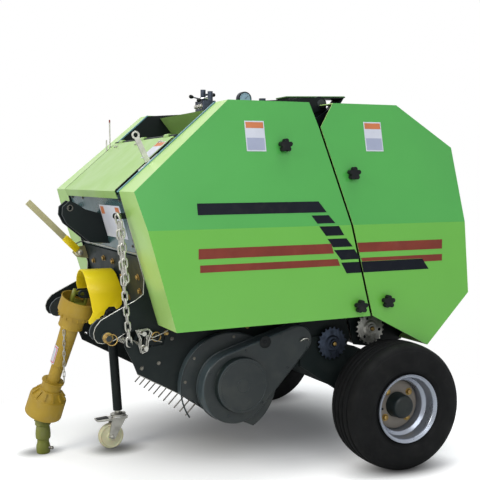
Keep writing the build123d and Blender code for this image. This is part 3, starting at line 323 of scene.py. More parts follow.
class Finish(Enum):
    """Every finish on the machine."""

    # The third tone of each paint is its painted highlight on faces turned forward and up.
    COVER_GREEN = Paint(
        # The under tone is painted light on the cover's downward faces.
        "cover_green", (69, 160, 68), (66, 155, 66), (170, 208, 118), under=(104, 180, 67),
        highlight_share=0.9, dust_share=0.1, coat=0.2,
    )
    STRAP_GREEN = Paint(
        "strap_green", (70, 122, 60), (64, 114, 56), (96, 140, 74), rough=0.4, dust_share=0.0, coat=0.1
    )
    # Painted highlight: the hood's paint is a paler copy of the cover green, standing in for the bright light on its
    # top.
    PALE_GREEN = Paint(
        "hood_lit_green", (146, 184, 102), (140, 178, 97), (152, 190, 108), rough=0.36, dust_share=0.0, coat=0.15
    )
    DARK_TEAL = Paint(
        "frame_dark", (22, 30, 30), (16, 22, 23), (34, 46, 48), (60, 62, 58),
        rough=0.46, coat=0.05, highlight_share=0.4, dust_share=0.2, gloss=0.15,
    )
    CASE_GREY = Paint(
        "case_grey", (42, 48, 49), (36, 42, 43), (70, 84, 90), (90, 90, 82),
        rough=0.34, coat=0.1, dust_share=0.2, gloss=0.25,
    )
    WALL_TEAL = Paint(
        "wall_teal", (44, 70, 74), (34, 56, 62), (92, 128, 132), rough=0.22, coat=0.4, highlight_share=0.3
    )
    # Painted highlight: steel blue for the highlights along the dark plates' sloping top edges.
    EDGE_HIGHLIGHT_BLUE = Paint("edge_highlight_blue", (84, 132, 140), (72, 118, 128), (120, 168, 178), dust_share=0.05)
    SHIELD_YELLOW = Paint(
        "shield_yellow", (253, 223, 14), (248, 216, 12), (255, 238, 24), rough=0.36, dust_share=0.05, coat=0.1
    )
    OLIVE = Paint("olive", (112, 118, 36), (100, 106, 32), (136, 140, 56), rough=0.44, coat=0.1, gloss=0.3)
    LEVER_OLIVE = Paint("lever_olive", (182, 175, 132), (168, 162, 120), (208, 204, 170), rough=0.42, coat=0.1)
    RIM_SILVER = Paint(
        "rim_silver", (150, 156, 168), (138, 144, 156), (164, 170, 182),
        rough=0.24, dust_share=0.1, coat=0.2, metal=0.75,
    )
    DISC_GREY = Paint("disc_grey", (128, 120, 110), (116, 108, 100), (136, 130, 120), rough=0.42, gloss=0.3)
    HUB_DARK = Paint(
        "hub_dark", (16, 26, 26), (12, 20, 21), (26, 38, 38), (70, 70, 64),
        rough=0.36, coat=0.1, highlight_share=0.4, dust_share=0.15, gloss=0.25,
    )
    ZINC = Metal("zinc_plate", (188, 187, 180), (138, 136, 128), 0.32)
    DULL_ZINC = Metal("dull_zinc", (122, 120, 112), (82, 78, 72), 0.4)
    GOLD_ZINC = Metal("gold_zinc", (164, 138, 82), (112, 88, 70), 0.4, spots=60)
    STEEL = Metal("worn_steel", (138, 136, 132), (92, 84, 76), 0.4, marks=(1, 12, 1))
    BLUE_STEEL = Metal("dark_sprocket", (66, 74, 88), (40, 42, 48), 0.44)
    CHROME = Metal("chrome", (226, 226, 228), (210, 210, 214), 0.08, stain_share=0.2)
    CAST_METAL = Metal("cast_metal", (66, 72, 84), (36, 38, 44), 0.4)
    BLACK_PLASTIC = Moulded("black_plastic", (9, 13, 14), (14, 18, 19), 0.48, 0.04, gloss=0.2)
    OCHRE_PLASTIC = Moulded("guard_ochre", (172, 142, 44), (162, 132, 39), 0.44, 0.12, 0.06, 0.4)
    NYLON = Moulded("wheel_nylon", (226, 222, 186), (216, 210, 170), 0.4, 0.25, glow_through=0.12)
    TYRE = Moulded("tyre_rubber", (9, 10, 11), (13, 14, 15), 0.64, 0.2, gloss=0.15, dust=(40, 39, 37), grain=150)
    VINYL_BLACK = Moulded("vinyl_black", (7, 12, 23), (11, 16, 27), 0.42, 0.02, 0.02, 0.15)
    VINYL_RED = Moulded("vinyl_red", (126, 52, 38), (116, 46, 34), 0.38, 0.03, 0.02, 0.3)
    LABEL_WHITE = Moulded("label_white", (204, 206, 216), (196, 199, 210), 0.42, 0.05, 0.02)
    LABEL_GREY = Moulded("label_grey", (158, 164, 186), (152, 158, 180), 0.42, 0.05, 0.02)
    LABEL_ORANGE = Moulded("label_orange", (196, 116, 70), (186, 106, 62), 0.42, 0.06, 0.02)
    LABEL_PINK = Moulded("label_pink", (214, 104, 112), (204, 94, 104), 0.42, 0.06, 0.02)
    GLASS_BLUE = Moulded("dial_blue", (140, 166, 190), (132, 158, 184), 0.16, 0.02, 0.01)

    @cache
    def material(self) -> bpy.types.Material:
        """Return the finish's material, made on its first use."""
        return self.value.make()


def clear() -> None:
    """Leave edit mode and deselect everything."""
    if bpy.context.object and bpy.context.object.mode != "OBJECT":
        bpy.ops.object.mode_set(mode="OBJECT")
    bpy.ops.object.select_all(action="DESELECT")


def hold(*pieces: Object) -> None:
    """Select pieces alone and make the first one active."""
    clear()
    for piece in pieces:
        piece.select_set(True)
    bpy.context.view_layer.objects.active = pieces[0]


@contextmanager
def editing(piece: Object, action: str = "SELECT") -> Iterator[None]:
    """Hold a piece in edit mode with everything selected or deselected."""
    hold(piece)
    bpy.ops.object.mode_set(mode="EDIT")
    bpy.ops.mesh.select_all(action=action)
    yield
    bpy.ops.object.mode_set(mode="OBJECT")


def new_object(data: bpy.types.ID) -> Object:
    """Put data into the scene as an object."""
    piece = bpy.data.objects.new("piece", data)
    bpy.context.collection.objects.link(piece)
    return piece


def drawn(points: list[Vector], faces: list[tuple[int, ...]], closed: bool = False) -> Object:
    """Draw a line or a face to work from.

    Args:
        points: Corners in metres.
        faces: Faces as corner numbers, or none for a line.
        closed: Whether the line joins its ends.

    Returns:
        The new piece.
    """
    mesh = bpy.data.meshes.new("piece")
    edges = [] if faces else [(i, i + 1) for i in range(len(points) - 1)]
    if closed:
        edges.append((len(points) - 1, 0))
    mesh.from_pydata(points, edges, faces)
    return new_object(mesh)


def outwards(piece: Object) -> Object:
    """Merge doubles and turn all faces outwards."""
    with editing(piece):
        bpy.ops.mesh.remove_doubles(threshold=0.00002)
        bpy.ops.mesh.normals_make_consistent(inside=False)
    return piece


def bevelled(piece: Object, width: float, crease: float = 40.0, segments: int = 2) -> Object:
    """Round the edges sharper than a crease in degrees, width in millimetres."""
    if width:
        hold(piece)
        modifier = piece.modifiers.new("edges", "BEVEL")
        modifier.width = width * MM
        modifier.segments = segments
        modifier.limit_method = "ANGLE"
        modifier.angle_limit = radians(crease)
        bpy.ops.object.modifier_apply(modifier=modifier.name)
    return piece


def bent(points: list[Vector], radius: float, closed: bool, smooth: bool, sides: int) -> Object:
    """Bend a round wire through points.

    Args:
        points: Points in metres.
        radius: Radius of the wire in millimetres.
        closed: Whether the wire is a ring.
        smooth: A smooth line, or straight runs.
        sides: Bevel resolution of the wire.

    Returns:
        The wire as a mesh.
    """
    curve = bpy.data.curves.new("wire", "CURVE")
    curve.dimensions = "3D"
    spline = curve.splines.new("NURBS" if smooth else "POLY")
    spline.points.add(len(points) - 1)
    for knot, point in zip(spline.points, points):
        knot.co = (*point, 1.0)
    spline.use_cyclic_u = closed
    if smooth:
        spline.order_u = 3
        spline.use_endpoint_u = not closed
        spline.resolution_u = 4
    curve.bevel_depth = radius * MM
    curve.bevel_resolution = sides
    curve.use_fill_caps = True
    hold(new_object(curve))
    bpy.ops.object.convert(target="MESH")
    return outwards(bpy.context.object)


def joined(pieces: list[Object]) -> Object:
    """Join pieces into the first one."""
    hold(*pieces)
    if len(pieces) > 1:
        bpy.ops.object.join()
    bpy.ops.object.transform_apply(location=True, rotation=True, scale=True)
    return bpy.context.object


def copies(model: Object, spots: list[Matrix]) -> Object:
    """Set copies of a model at the origin, each with its own mesh, and join them."""
    made = []
    for spot in spots:
        copy = new_object(model.data.copy())
        copy.matrix_world = spot
        made.append(copy)
    bpy.data.objects.remove(model, do_unlink=True)
    bpy.context.view_layer.update()
    return joined(made)


class Shape:
    """Form in millimetres that can be made as it is or as its twin on the right side."""

    def make(self, sign: int = 1) -> Object:
        """Model the form.

        Args:
            sign: -1 for the twin on the right side.

        Returns:
            The form as a mesh.
        """
        raise NotImplementedError


@dataclass(frozen=True)
class Prism(Shape):
    """Flat outline pushed some way."""

    corners: list[Spot]
    push: Spot
    bevel: float = 0.0

    def make(self, sign: int = 1) -> Object:
        """Extrude the outline and round its edges."""
        piece = drawn([place(c, sign) for c in self.corners], [tuple(range(len(self.corners)))])
        with editing(piece):
            bpy.ops.mesh.extrude_region_move(TRANSFORM_OT_translate={"value": sided(self.push, sign) * MM})
        return bevelled(outwards(piece), self.bevel)


def slab(outline: Line, low: float, high: float, bevel: float = 0.0) -> Prism:
    """Describe an XZ outline that reaches between two y values."""
    return Prism([(x, low, z) for x, z in outline], (0, high - low, 0), bevel)


@dataclass(frozen=True)
class Lathe(Shape):
    """Profile of distance and radius turned round an axis; solid when it starts on the axis."""

    profile: Line
    at: Spot
    axis: Spot = LEFT
    steps: int = 20
    bevel: float = 0.0
    crease: float = 25.0
    angle: float = 360.0
    start: Spot | None = None

    def make(self, sign: int = 1) -> Object:
        """Spin the profile, close what stays open and round its edges."""
        centre = place(self.at, sign)
        along = sided(self.axis, sign).normalized()
        out = (Vector(self.start) if self.start else along.orthogonal()).normalized()
        points = [centre + along * (a * MM) + out * (r * MM) for a, r in self.profile]
        piece = drawn(points, [], self.profile[0][1] > 0)
        with editing(piece):
            bpy.ops.mesh.spin(steps=self.steps, angle=radians(self.angle), center=centre, axis=along)
        outwards(piece)
        if self.angle < 360:
            with editing(piece):
                bpy.ops.mesh.fill_holes(sides=0)
                bpy.ops.mesh.normals_make_consistent(inside=False)
        return bevelled(piece, self.bevel, self.crease)


def ring(at: Spot, axis: Spot, major: float, minor: float, steps: int = 32) -> Lathe:
    """Describe a round ring."""
    section = [(minor * cos(k * pi / 5), major + minor * sin(k * pi / 5)) for k in range(10)]
    return Lathe(section, at, axis, steps)


@dataclass(frozen=True)
class Wire(Shape):
    """Round wire through points."""

    points: list[Spot]
    radius: float
    closed: bool = False
    smooth: bool = True
    sides: int = 3

    def make(self, sign: int = 1) -> Object:
        """Bend the wire."""
        return bent([place(p, sign) for p in self.points], self.radius, self.closed, self.smooth, self.sides)


def straight(points: list[Spot], radius: float, closed: bool = False, sides: int = 2) -> Wire:
    """Describe a wire in straight runs."""
    return Wire(points, radius, closed, False, sides)


@dataclass(frozen=True)
class Bolts(Shape):
    """Hexagon bolt heads on washers, each turned a little further than the last."""

    places: list[Spot]
    axis: Spot
    radius: float
    washer: float = 1.0
    turn: float = 0.4
    first: float = 0.0

    HEIGHT, CROWN, INSET, WASHER_RADIUS = 0.75, 0.1, 0.16, 1.35  # shares of the radius

    def head(self) -> Object:
        """Model one bolt head on its washer at the origin, along +Z."""
        rise = self.radius * self.HEIGHT
        clear()
        bpy.ops.mesh.primitive_cylinder_add(
            vertices=6, radius=self.radius * MM, depth=rise * MM, location=(0, 0, (self.washer + rise / 2) * MM)
        )
        head = bpy.context.object
        with editing(head, "DESELECT"):
            bpy.ops.mesh.select_mode(type="FACE")
        for face in head.data.polygons:
            face.select = face.normal.z > 0.9
        bpy.ops.object.mode_set(mode="EDIT")
        bpy.ops.mesh.inset(thickness=self.radius * self.INSET * MM)
        bpy.ops.transform.translate(value=(0, 0, self.radius * self.CROWN * MM))
        bpy.ops.object.mode_set(mode="OBJECT")
        bevelled(head, self.radius * 0.05, segments=1)
        clear()
        radius, depth = self.radius * self.WASHER_RADIUS * MM, self.washer * MM
        bpy.ops.mesh.primitive_cylinder_add(vertices=20, radius=radius, depth=depth, location=(0, 0, depth / 2))
        disc = bpy.context.object
        bevelled(disc, self.washer * 0.25, segments=1)
        return joined([head, disc])

    def make(self, sign: int = 1) -> Object:
        """Set a bolt at every place."""
        stand = sided(self.axis, sign).normalized().to_track_quat("Z", "Y").to_matrix().to_4x4()
        turns = [Matrix.Rotation(self.first + self.turn * k, 4, "Z") for k in range(len(self.places))]
        return copies(
            self.head(), [Matrix.Translation(place(p, sign)) @ stand @ turn for p, turn in zip(self.places, turns)]
        )


@dataclass(frozen=True)
class Chain(Shape):
    """Straight run of round-wire links between two points."""

    start: Spot
    end: Spot
    count: int
    wire: float
    width: float
    spare: float = 1.0
    first_flat: bool = True

    BENDS = 8

    def link(self, pitch: float) -> Object:
        """Bend one link at the origin, lengthwise along X, for a pitch in millimetres."""
        radius = self.width / 2 - self.wire
        half = max((pitch + 2 * self.wire * self.spare) / 2 - radius, 0.5)
        points = []
        for sign in (1, -1):
            for step in range(self.BENDS + 1):
                x, y = polar((half, 0), radius, radians(-90 + 180 / self.BENDS * step))
                points.append(Vector((sign * x * MM, sign * y * MM, 0)))
        return bent(points, self.wire, True, False, 2)

    def make(self, sign: int = 1) -> Object:
        """Hang the links, every second one turned a quarter."""
        start, end = place(self.start, sign), place(self.end, sign)
        pitch = (end - start).length / self.count
        along = (end - start).normalized()
        flat = Vector(LEFT)
        flat = (flat - along * flat.dot(along)).normalized()
        spots = []
        for index in range(self.count):
            normal = flat if (index % 2 == 0) == self.first_flat else flat.cross(along)
            turn = Matrix((along, normal.cross(along), normal)).transposed().to_4x4()
            spots.append(Matrix.Translation(start + along * (pitch * (index + 0.5))) @ turn)
        return copies(self.link(pitch / MM), spots)


@dataclass(frozen=True)
class Piece:
    """One visible piece: its looks, its shapes, its body and the nodes that it replaces."""

    name: str
    finish: Finish
    slot: Slot
    shapes: list[Shape]
    body: Body = Body.FRAME
    stands_for: tuple[str, ...] = ()
    smooth: float = 35.0
    sign: int = 1

    def build(self) -> None:
        piece = joined([shape.make(self.sign) for shape in self.shapes])
        piece.name = piece.data.name = self.name
        piece.data.materials.clear()
        piece.data.materials.append(self.finish.material())
        hold(piece)
        bpy.ops.object.shade_smooth_by_angle(angle=radians(self.smooth))
        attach(piece, self.body.value)
        for node in self.stands_for:
            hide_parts(node)
        LOG.info("%s: %d faces on %s", self.name, len(piece.data.polygons), self.body.value)


def twins(*pieces: Piece) -> list[Piece]:
    """List pieces for the left side and again for the right side."""
    return [replace(piece, name=piece.name + suffix, sign=sign) for suffix, sign in SIDES for piece in pieces]


class Assembly:
    """Part of the machine that lists its own pieces."""

    def pieces(self) -> list[Piece]:
        """List the pieces."""
        raise NotImplementedError

    def build(self) -> None:
        """Build every piece."""
        for piece in self.pieces():
            piece.build()


@dataclass
class Dressing:
    """Finishes for the nodes that keep their own shape."""

    by_slot: dict[Slot, Finish]
    by_node: dict[str, Finish]

    def build(self) -> None:
        """Put a finish into the material slots of every node."""
        slots = {row["node"]: row["material_slot"] for row in frame["record"]["subparts"]}
        for name, node in frame["nodes"].items():
            finish = self.by_node.get(name, self.by_slot[Slot(slots[name])])
            if not node.material_slots:
                node.data.materials.append(finish.material())
            for holder in node.material_slots:
                holder.material = finish.material()
            LOG.info("node %s: %s", name, finish.name)


@dataclass
class CoverMarkings(Assembly):
    """Bands and blank labels on the creased covers."""

    crease_z: float = 985.0
    crease_y: float = 619.0
    top: Flat = (519.0, 1461.0)
    low: Flat = (608.0, 460.0)

    BANDS = (
        ("black_bands_front", Finish.VINYL_BLACK, Body.FRAME, (
            ((847, 1078), (847, 1036), (315, 1036), (346, 1078)),
            ((383, 1025), (361, 994), (282, 994), (308, 1025)),
            ((354, 983), (324, 946), (243, 946), (267, 983)),
            ((317, 934), (292, 901), (204, 901), (233, 934)),
            ((288, 890), (255, 851), (168, 851), (196, 890)),
            ((255, 840), (230, 797), (163, 797), (174, 840)),
        )),
        ("black_bands_gate", Finish.VINYL_BLACK, Body.GATE, (((164, 840), (153, 797), (-157, 797), (-125, 840)),)),
        ("red_bands_front", Finish.VINYL_RED, Body.FRAME, (
            ((849, 915), (849, 877), (288, 877), (300, 915)),
            ((843, 855), (843, 828), (259, 828), (271, 855)),
        )),
        ("red_bands_gate", Finish.VINYL_RED, Body.GATE, (
            ((184, 915), (174, 877), (-221, 877), (-221, 915)),
            ((165, 855), (161, 841), (-125, 841), (-133, 828), (-222, 828), (-222, 855)),
        )),
    )
    LABELS = (("front", Body.FRAME, (629, 1383, 548, 1268)), ("gate", Body.GATE, (107, 1389, 26, 1272)))

    def edge(self, z: float) -> Flat:
        """Give the y and z of the cover's edge on that side of the crease."""
        return self.top if z >= self.crease_z else self.low

    def face_y(self, z: float) -> float:
        """Give the distance of the outer face from the middle at a height."""
        y, end = self.edge(z)
        return self.crease_y + (z - self.crease_z) / (end - self.crease_z) * (y - self.crease_y)

    def slope(self, z: float) -> Vector:
        """Give the outward direction of the cover's face at a height."""
        y, end = self.edge(z)
        rise = Vector((0, y - self.crease_y, end - self.crease_z)).normalized()
        return Vector((0, abs(rise.z), -rise.y if rise.z > 0 else rise.y)).normalized()

    def patch(self, outline: tuple[Flat, ...], lift: float, thickness: float, bevel: float = 0.0) -> Prism:
        """Describe a thin film on the sloping face.

        Args:
            outline: XZ corners.
            lift: Height of its back over the paint.
            thickness: Thickness of the film.
            bevel: Width of its rounded edges.

        Returns:
            The film.
        """
        out = self.slope(sum(z for _, z in outline) / len(outline))
        corners = [Vector((x, self.face_y(z), z)) + out * lift for x, z in outline]
        return Prism(corners, out * thickness, bevel)

    def panel(self, front: float, high: float, rear: float, low: float) -> tuple[Flat, ...]:
        """Give the corners of an upright rectangle."""
        return ((front, high), (front, low), (rear, low), (rear, high))

    def pieces(self) -> list[Piece]:
        """List the bands, and the bare white plates with their orange heads and grey fields."""
        marks = [
            (name, finish, body, [self.patch(outline, 0.05, 0.5) for outline in outlines])
            for name, finish, body, outlines in self.BANDS
        ]
        for side, body, (front, high, rear, low) in self.LABELS:
            head_low = high - (high - low) * 0.24
            field_high = head_low - (head_low - low) * 0.42
            plate = self.patch(self.panel(front, high, rear, low), 0.05, 1.0, 0.3)
            head = self.patch(self.panel(front - 4, high - 5, rear + 4, head_low), 1.0, 0.4)
            field = self.patch(self.panel(front - 4, field_high, rear + 4, low + 5), 1.0, 0.3)
            marks += [
                (f"label_{side}", Finish.LABEL_WHITE, body, [plate]),
                (f"label_head_{side}", Finish.LABEL_ORANGE, body, [head]),
                (f"label_field_{side}", Finish.LABEL_GREY, body, [field]),
            ]
        rows: list[Piece] = []
        for name, finish, body, films in marks:
            rows += twins(Piece(name, finish, Slot.GREEN, films, body, smooth=20))
        return rows


@dataclass
class Wheel(Assembly):
    """One wheel: grooved tyre, dished rim, disc, hub cap, nuts and valve."""

    side: str
    sign: int
    body: Body
    middle: Spot = (0, 612.5, 257.5)
    bolt_circle: float = 73.0
    first_bolt: float = 40.0

    def pieces(self) -> list[Piece]:
        """List the wheel's pieces."""
        x, y, z = self.middle
        half = [(8, 257), (9.5, 249), (17, 249), (18.5, 256.6), (38, 255.6), (39.5, 247.6), (48, 247), (49.5, 254.4)]
        half += [(72, 250.6), (84, 244), (91, 236), (92.2, 231), (94.6, 229), (98, 214), (101.4, 197), (102.2, 183)]
        half += [(100.5, 167), (98.6, 162), (98.8, 159.4), (95, 154), (90, 146), (85.6, 140), (83, 136.6), (83, 127.6)]
        tread = [(-a, r) for a, r in reversed(half)] + half
        dish = [(97, 136.6), (97, 134), (93, 131), (90.5, 124.5), (84, 121.5), (52, 119), (47, 117), (39, 104)]
        dish += [(35, 101.6), (-21, 101.6), (-26, 104), (-36, 117), (-48, 119.4), (-84, 121.5), (-90.5, 124.5)]
        dish += [(-93, 131), (-97, 134), (-97, 136.6), (-88, 136.6), (-84.5, 127), (-48, 124.2), (-36, 122)]
        dish += [(-25, 107.5), (37, 107.5), (48, 122), (60, 124.2), (84.5, 127), (88, 136.6)]
        plate = [(3, 40), (9, 40), (13, 58), (13, 86), (8, 97), (-2, 102), (-8, 102), (3, 90), (6, 80), (6, 60)]
        cap = [(70, 0), (70, 28), (68, 37), (64, 43), (56, 47), (17, 49), (15, 51), (12, 51), (-12, 51), (-14, 44)]
        cap += [(-84, 42), (-88, 38), (-88, 0)]
        stem = [(0, 0), (0, 5.5), (5, 5.0), (8, 4.0), (20, 3.8), (21, 4.6), (30, 4.6), (31, 3.6), (31, 0)]
        angles = [radians(self.first_bolt + 90 * step) for step in range(4)]
        nuts = [(self.bolt_circle * sin(a), y + 13, z + self.bolt_circle * cos(a)) for a in angles]
        rows = (
            ("tyre_tread", Finish.TYRE, Slot.RUBBER, Lathe(tread, self.middle, LEFT, 112, 1.6, 30), ("tyre_",)),
            ("rim_shell", Finish.RIM_SILVER, Slot.SILVER, Lathe(dish, self.middle, LEFT, 96, 1.2), ("rim_",)),
            ("wheel_disc", Finish.DISC_GREY, Slot.SILVER, Lathe(plate, self.middle, LEFT, 64, 1.0), ()),
            ("hub_cap", Finish.HUB_DARK, Slot.SILVER, Lathe(cap, self.middle, LEFT, 56, 1.0), ()),
            ("wheel_nuts", Finish.GOLD_ZINC, Slot.ZINC, Bolts(nuts, LEFT, 11, 2.5, 0.5), ()),
            (
                "valve_stem", Finish.BLACK_PLASTIC, Slot.RUBBER,
                Lathe(stem, (x + 104, y + 30, z + 2), (-0.25, 1, 0), 16), (),
            ),
        )
        return [
            Piece(
                f"{name}_{self.side}", finish, slot, [shape], self.body,
                tuple(node + self.side for node in nodes), sign=self.sign,
            )
            for name, finish, slot, shape, nodes in rows
        ]


@dataclass
class PickupDrive(Assembly):
    """Fittings of the chain case, the cam housing and the pickup plates."""

    reel: Flat = (657.0, 369.0)
    small_end: Flat = (389.1, 532.5)
    big_r: float = 140.0
    small_r: float = 60.0
    face: float = 520.0
    disc: Flat = (642.0, 381.0)
    disc_face: float = 549.0
    cam_r: float = 203.0
    cam_face: float = 450.0

    def outline(self, grow: float, count: int = 20) -> Line:
        """Find the belt line round both ends of the case.

        Args:
            grow: Distance outside the case's wall.
            count: Points on each end.

        Returns:
            XZ points of the closed line.
        """
        run = (self.small_end[0] - self.reel[0], self.small_end[1] - self.reel[1])
        taper = self.big_r - self.small_r
        heading = atan2(run[1], run[0])
        lean = atan2(sqrt(hypot(*run) ** 2 - taper**2), taper)
        line = []
        for centre, radius, first, last in (
            (self.reel, self.big_r, heading + lean, heading + 2 * pi - lean),
            (self.small_end, self.small_r, heading - lean, heading + lean),
        ):
            line += [polar(centre, radius + grow, first + (last - first) * k / count) for k in range(count + 1)]
        return line

    def pieces(self) -> list[Piece]:
        """List the case's seam, disc, plug and screws, the housing's edge and the plates' bolts."""
        seam = [(x, 462, z) for x, z in self.outline(1.0)]
        axis = (self.disc[0], 0, self.disc[1])
        face = (self.disc[0], self.disc_face, self.disc[1])
        cover = [(519, 0), (519, 104.5), (545, 104.5), (548, 103.4), (self.disc_face, 101), (self.disc_face, 0)]
        wall_shade_profile = [(519.5, 104), (519.5, 108), (523, 105.6), (544, 105.2), (544, 104)]
        plug = [(0, 0), (0, 24), (3.4, 24), (4.6, 22.5), (4.6, 20), (3.6, 19), (3.6, 8), (5.2, 7), (5.2, 0)]
        screws = [(617, 509), (692, 263), (548, 300), (769, 436), (466, 560), (352, 500), (440, 425)]
        grip = [(383, self.face, 526), (383, 529, 532), (366, 532, 540), (349, 529, 536), (347, self.face, 528)]
        arc = [polar(self.reel, self.cam_r - 1.5, radians(a)) for a in range(-34, 197, 6)]
        cam_bolts = [polar(self.reel, 186, radians(a)) for a in (8, 38, 96, 130)]
        lower = ((1002, 456), (838, 367), (934, 470), (460, 380), (470, 470), (880, 560))
        lower = [(x, PICKUP_PLATE_Y, z) for x, z in lower]
        upper = [(x, PLATE_Y, z) for x, z in ((684, 590), (900, 582), (560, 585), (700, 560))]
        return [
            Piece("case_seam", Finish.CASE_GREY, Slot.BLACK, [straight(seam, 2.6, closed=True)]),
            Piece("case_disc", Finish.CASE_GREY, Slot.BLACK, [
                Lathe(cover, axis, LEFT, 96), *(ring(face, LEFT, radius, 1.2, 64) for radius in (27, 95)),
            ]),
            # Painted shade: a dark sleeve over the disc cover's side wall stands in for the shade on that wall.
            Piece("case_disc_wall_shade", Finish.HUB_DARK, Slot.BLACK, [Lathe(wall_shade_profile, axis, LEFT, 96)]),
            Piece("case_plug", Finish.BLACK_PLASTIC, Slot.BLACK, [Lathe(plug, (537, self.face, 537), LEFT, 40)]),
            Piece("case_screws", Finish.CASE_GREY, Slot.BLACK, [
                Bolts([(x, self.face, z) for x, z in screws], LEFT, 4.2),
            ]),
            Piece("case_clip", Finish.ZINC, Slot.ZINC, [Wire(grip, 2.4)]),
            Piece("cam_housing_edge", Finish.CASE_GREY, Slot.BLACK, [
                straight([(x, self.cam_face - 2, z) for x, z in arc], 3.2),
            ]),
            Piece("cam_housing_bolts", Finish.DULL_ZINC, Slot.ZINC, [
                Bolts([(x, self.cam_face, z) for x, z in cam_bolts], LEFT, 4.5),
            ]),
            *twins(
                Piece("pickup_bolts", Finish.DULL_ZINC, Slot.ZINC, [Bolts(lower, LEFT, 5.5)]),
                Piece("side_bolts", Finish.GOLD_ZINC, Slot.ZINC, [Bolts(upper, LEFT, 8)]),
            ),
        ]


@dataclass
class Sprocket(Assembly):
    """Toothed chain wheel with a hub, a nut and lightening holes, the holes shown as dark discs of painted shade."""

    name: str
    node: str
    centre: Flat
    finish: Finish
    body: Body
    shaft_from: float
    holes: bool = False
    y: float = 432.0
    teeth: int = 20
    root_r: float = 60.0
    tip_r: float = 68.0

    def outline(self) -> Line:
        """Find the outline of the teeth."""
        rising = ((0.0, self.root_r), (0.22, self.root_r + 0.6), (0.36, self.tip_r - 1.2), (0.44, self.tip_r))
        tooth = rising + tuple((1 - share, radius) for share, radius in reversed(rising[1:]))
        pitch = 2 * pi / self.teeth
        return [polar(self.centre, radius, (k + share) * pitch) for k in range(self.teeth) for share, radius in tooth]

    def pieces(self) -> list[Piece]:
        """List the wheel with its hub and shaft, the nut and the dark discs of painted shade in the holes."""
        x, z = self.centre
        y = self.y
        hub = [(y - 4, 0), (y - 4, 30), (y + 1, 34), (y + 8, 34), (y + 16, 28), (y + 16, 19), (y + 20, 18)]
        hub += [(y + 24, 16), (y + 24, 0)]
        journal = [(self.shaft_from, 0), (self.shaft_from, 17), (y - 3, 17), (y - 3, 0)]
        cup = [(0, 0), (0, 6), (0.6, 6.4), (0.6, 5), (0.2, 4.6), (0.2, 0)]
        wheel = [slab(self.outline(), y + 2, y + 8, 0.4), Lathe(hub, (x, 0, z), LEFT, 36)]
        wheel.append(Lathe(journal, (x, 0, z), LEFT, 28))
        rows = [
            Piece(self.name, self.finish, Slot.STEEL, wheel, self.body, (self.node,)),
            Piece(self.name + "_nut", Finish.GOLD_ZINC, Slot.ZINC, [Bolts([(x, y + 22, z)], LEFT, 9, 2)], self.body),
        ]
        if self.holes:
            # Painted shade: the holes are not cut; thin black discs on the face stand in for the shade inside them.
            spots = [polar(self.centre, 44, radians(angle)) for angle in (70, 190, 310)]
            hole_shade_discs = [Lathe(cup, (a, y + 8, b)) for a, b in spots]
            rows.append(Piece(self.name + "_holes", Finish.BLACK_PLASTIC, Slot.STEEL, hole_shade_discs, self.body))
        return rows


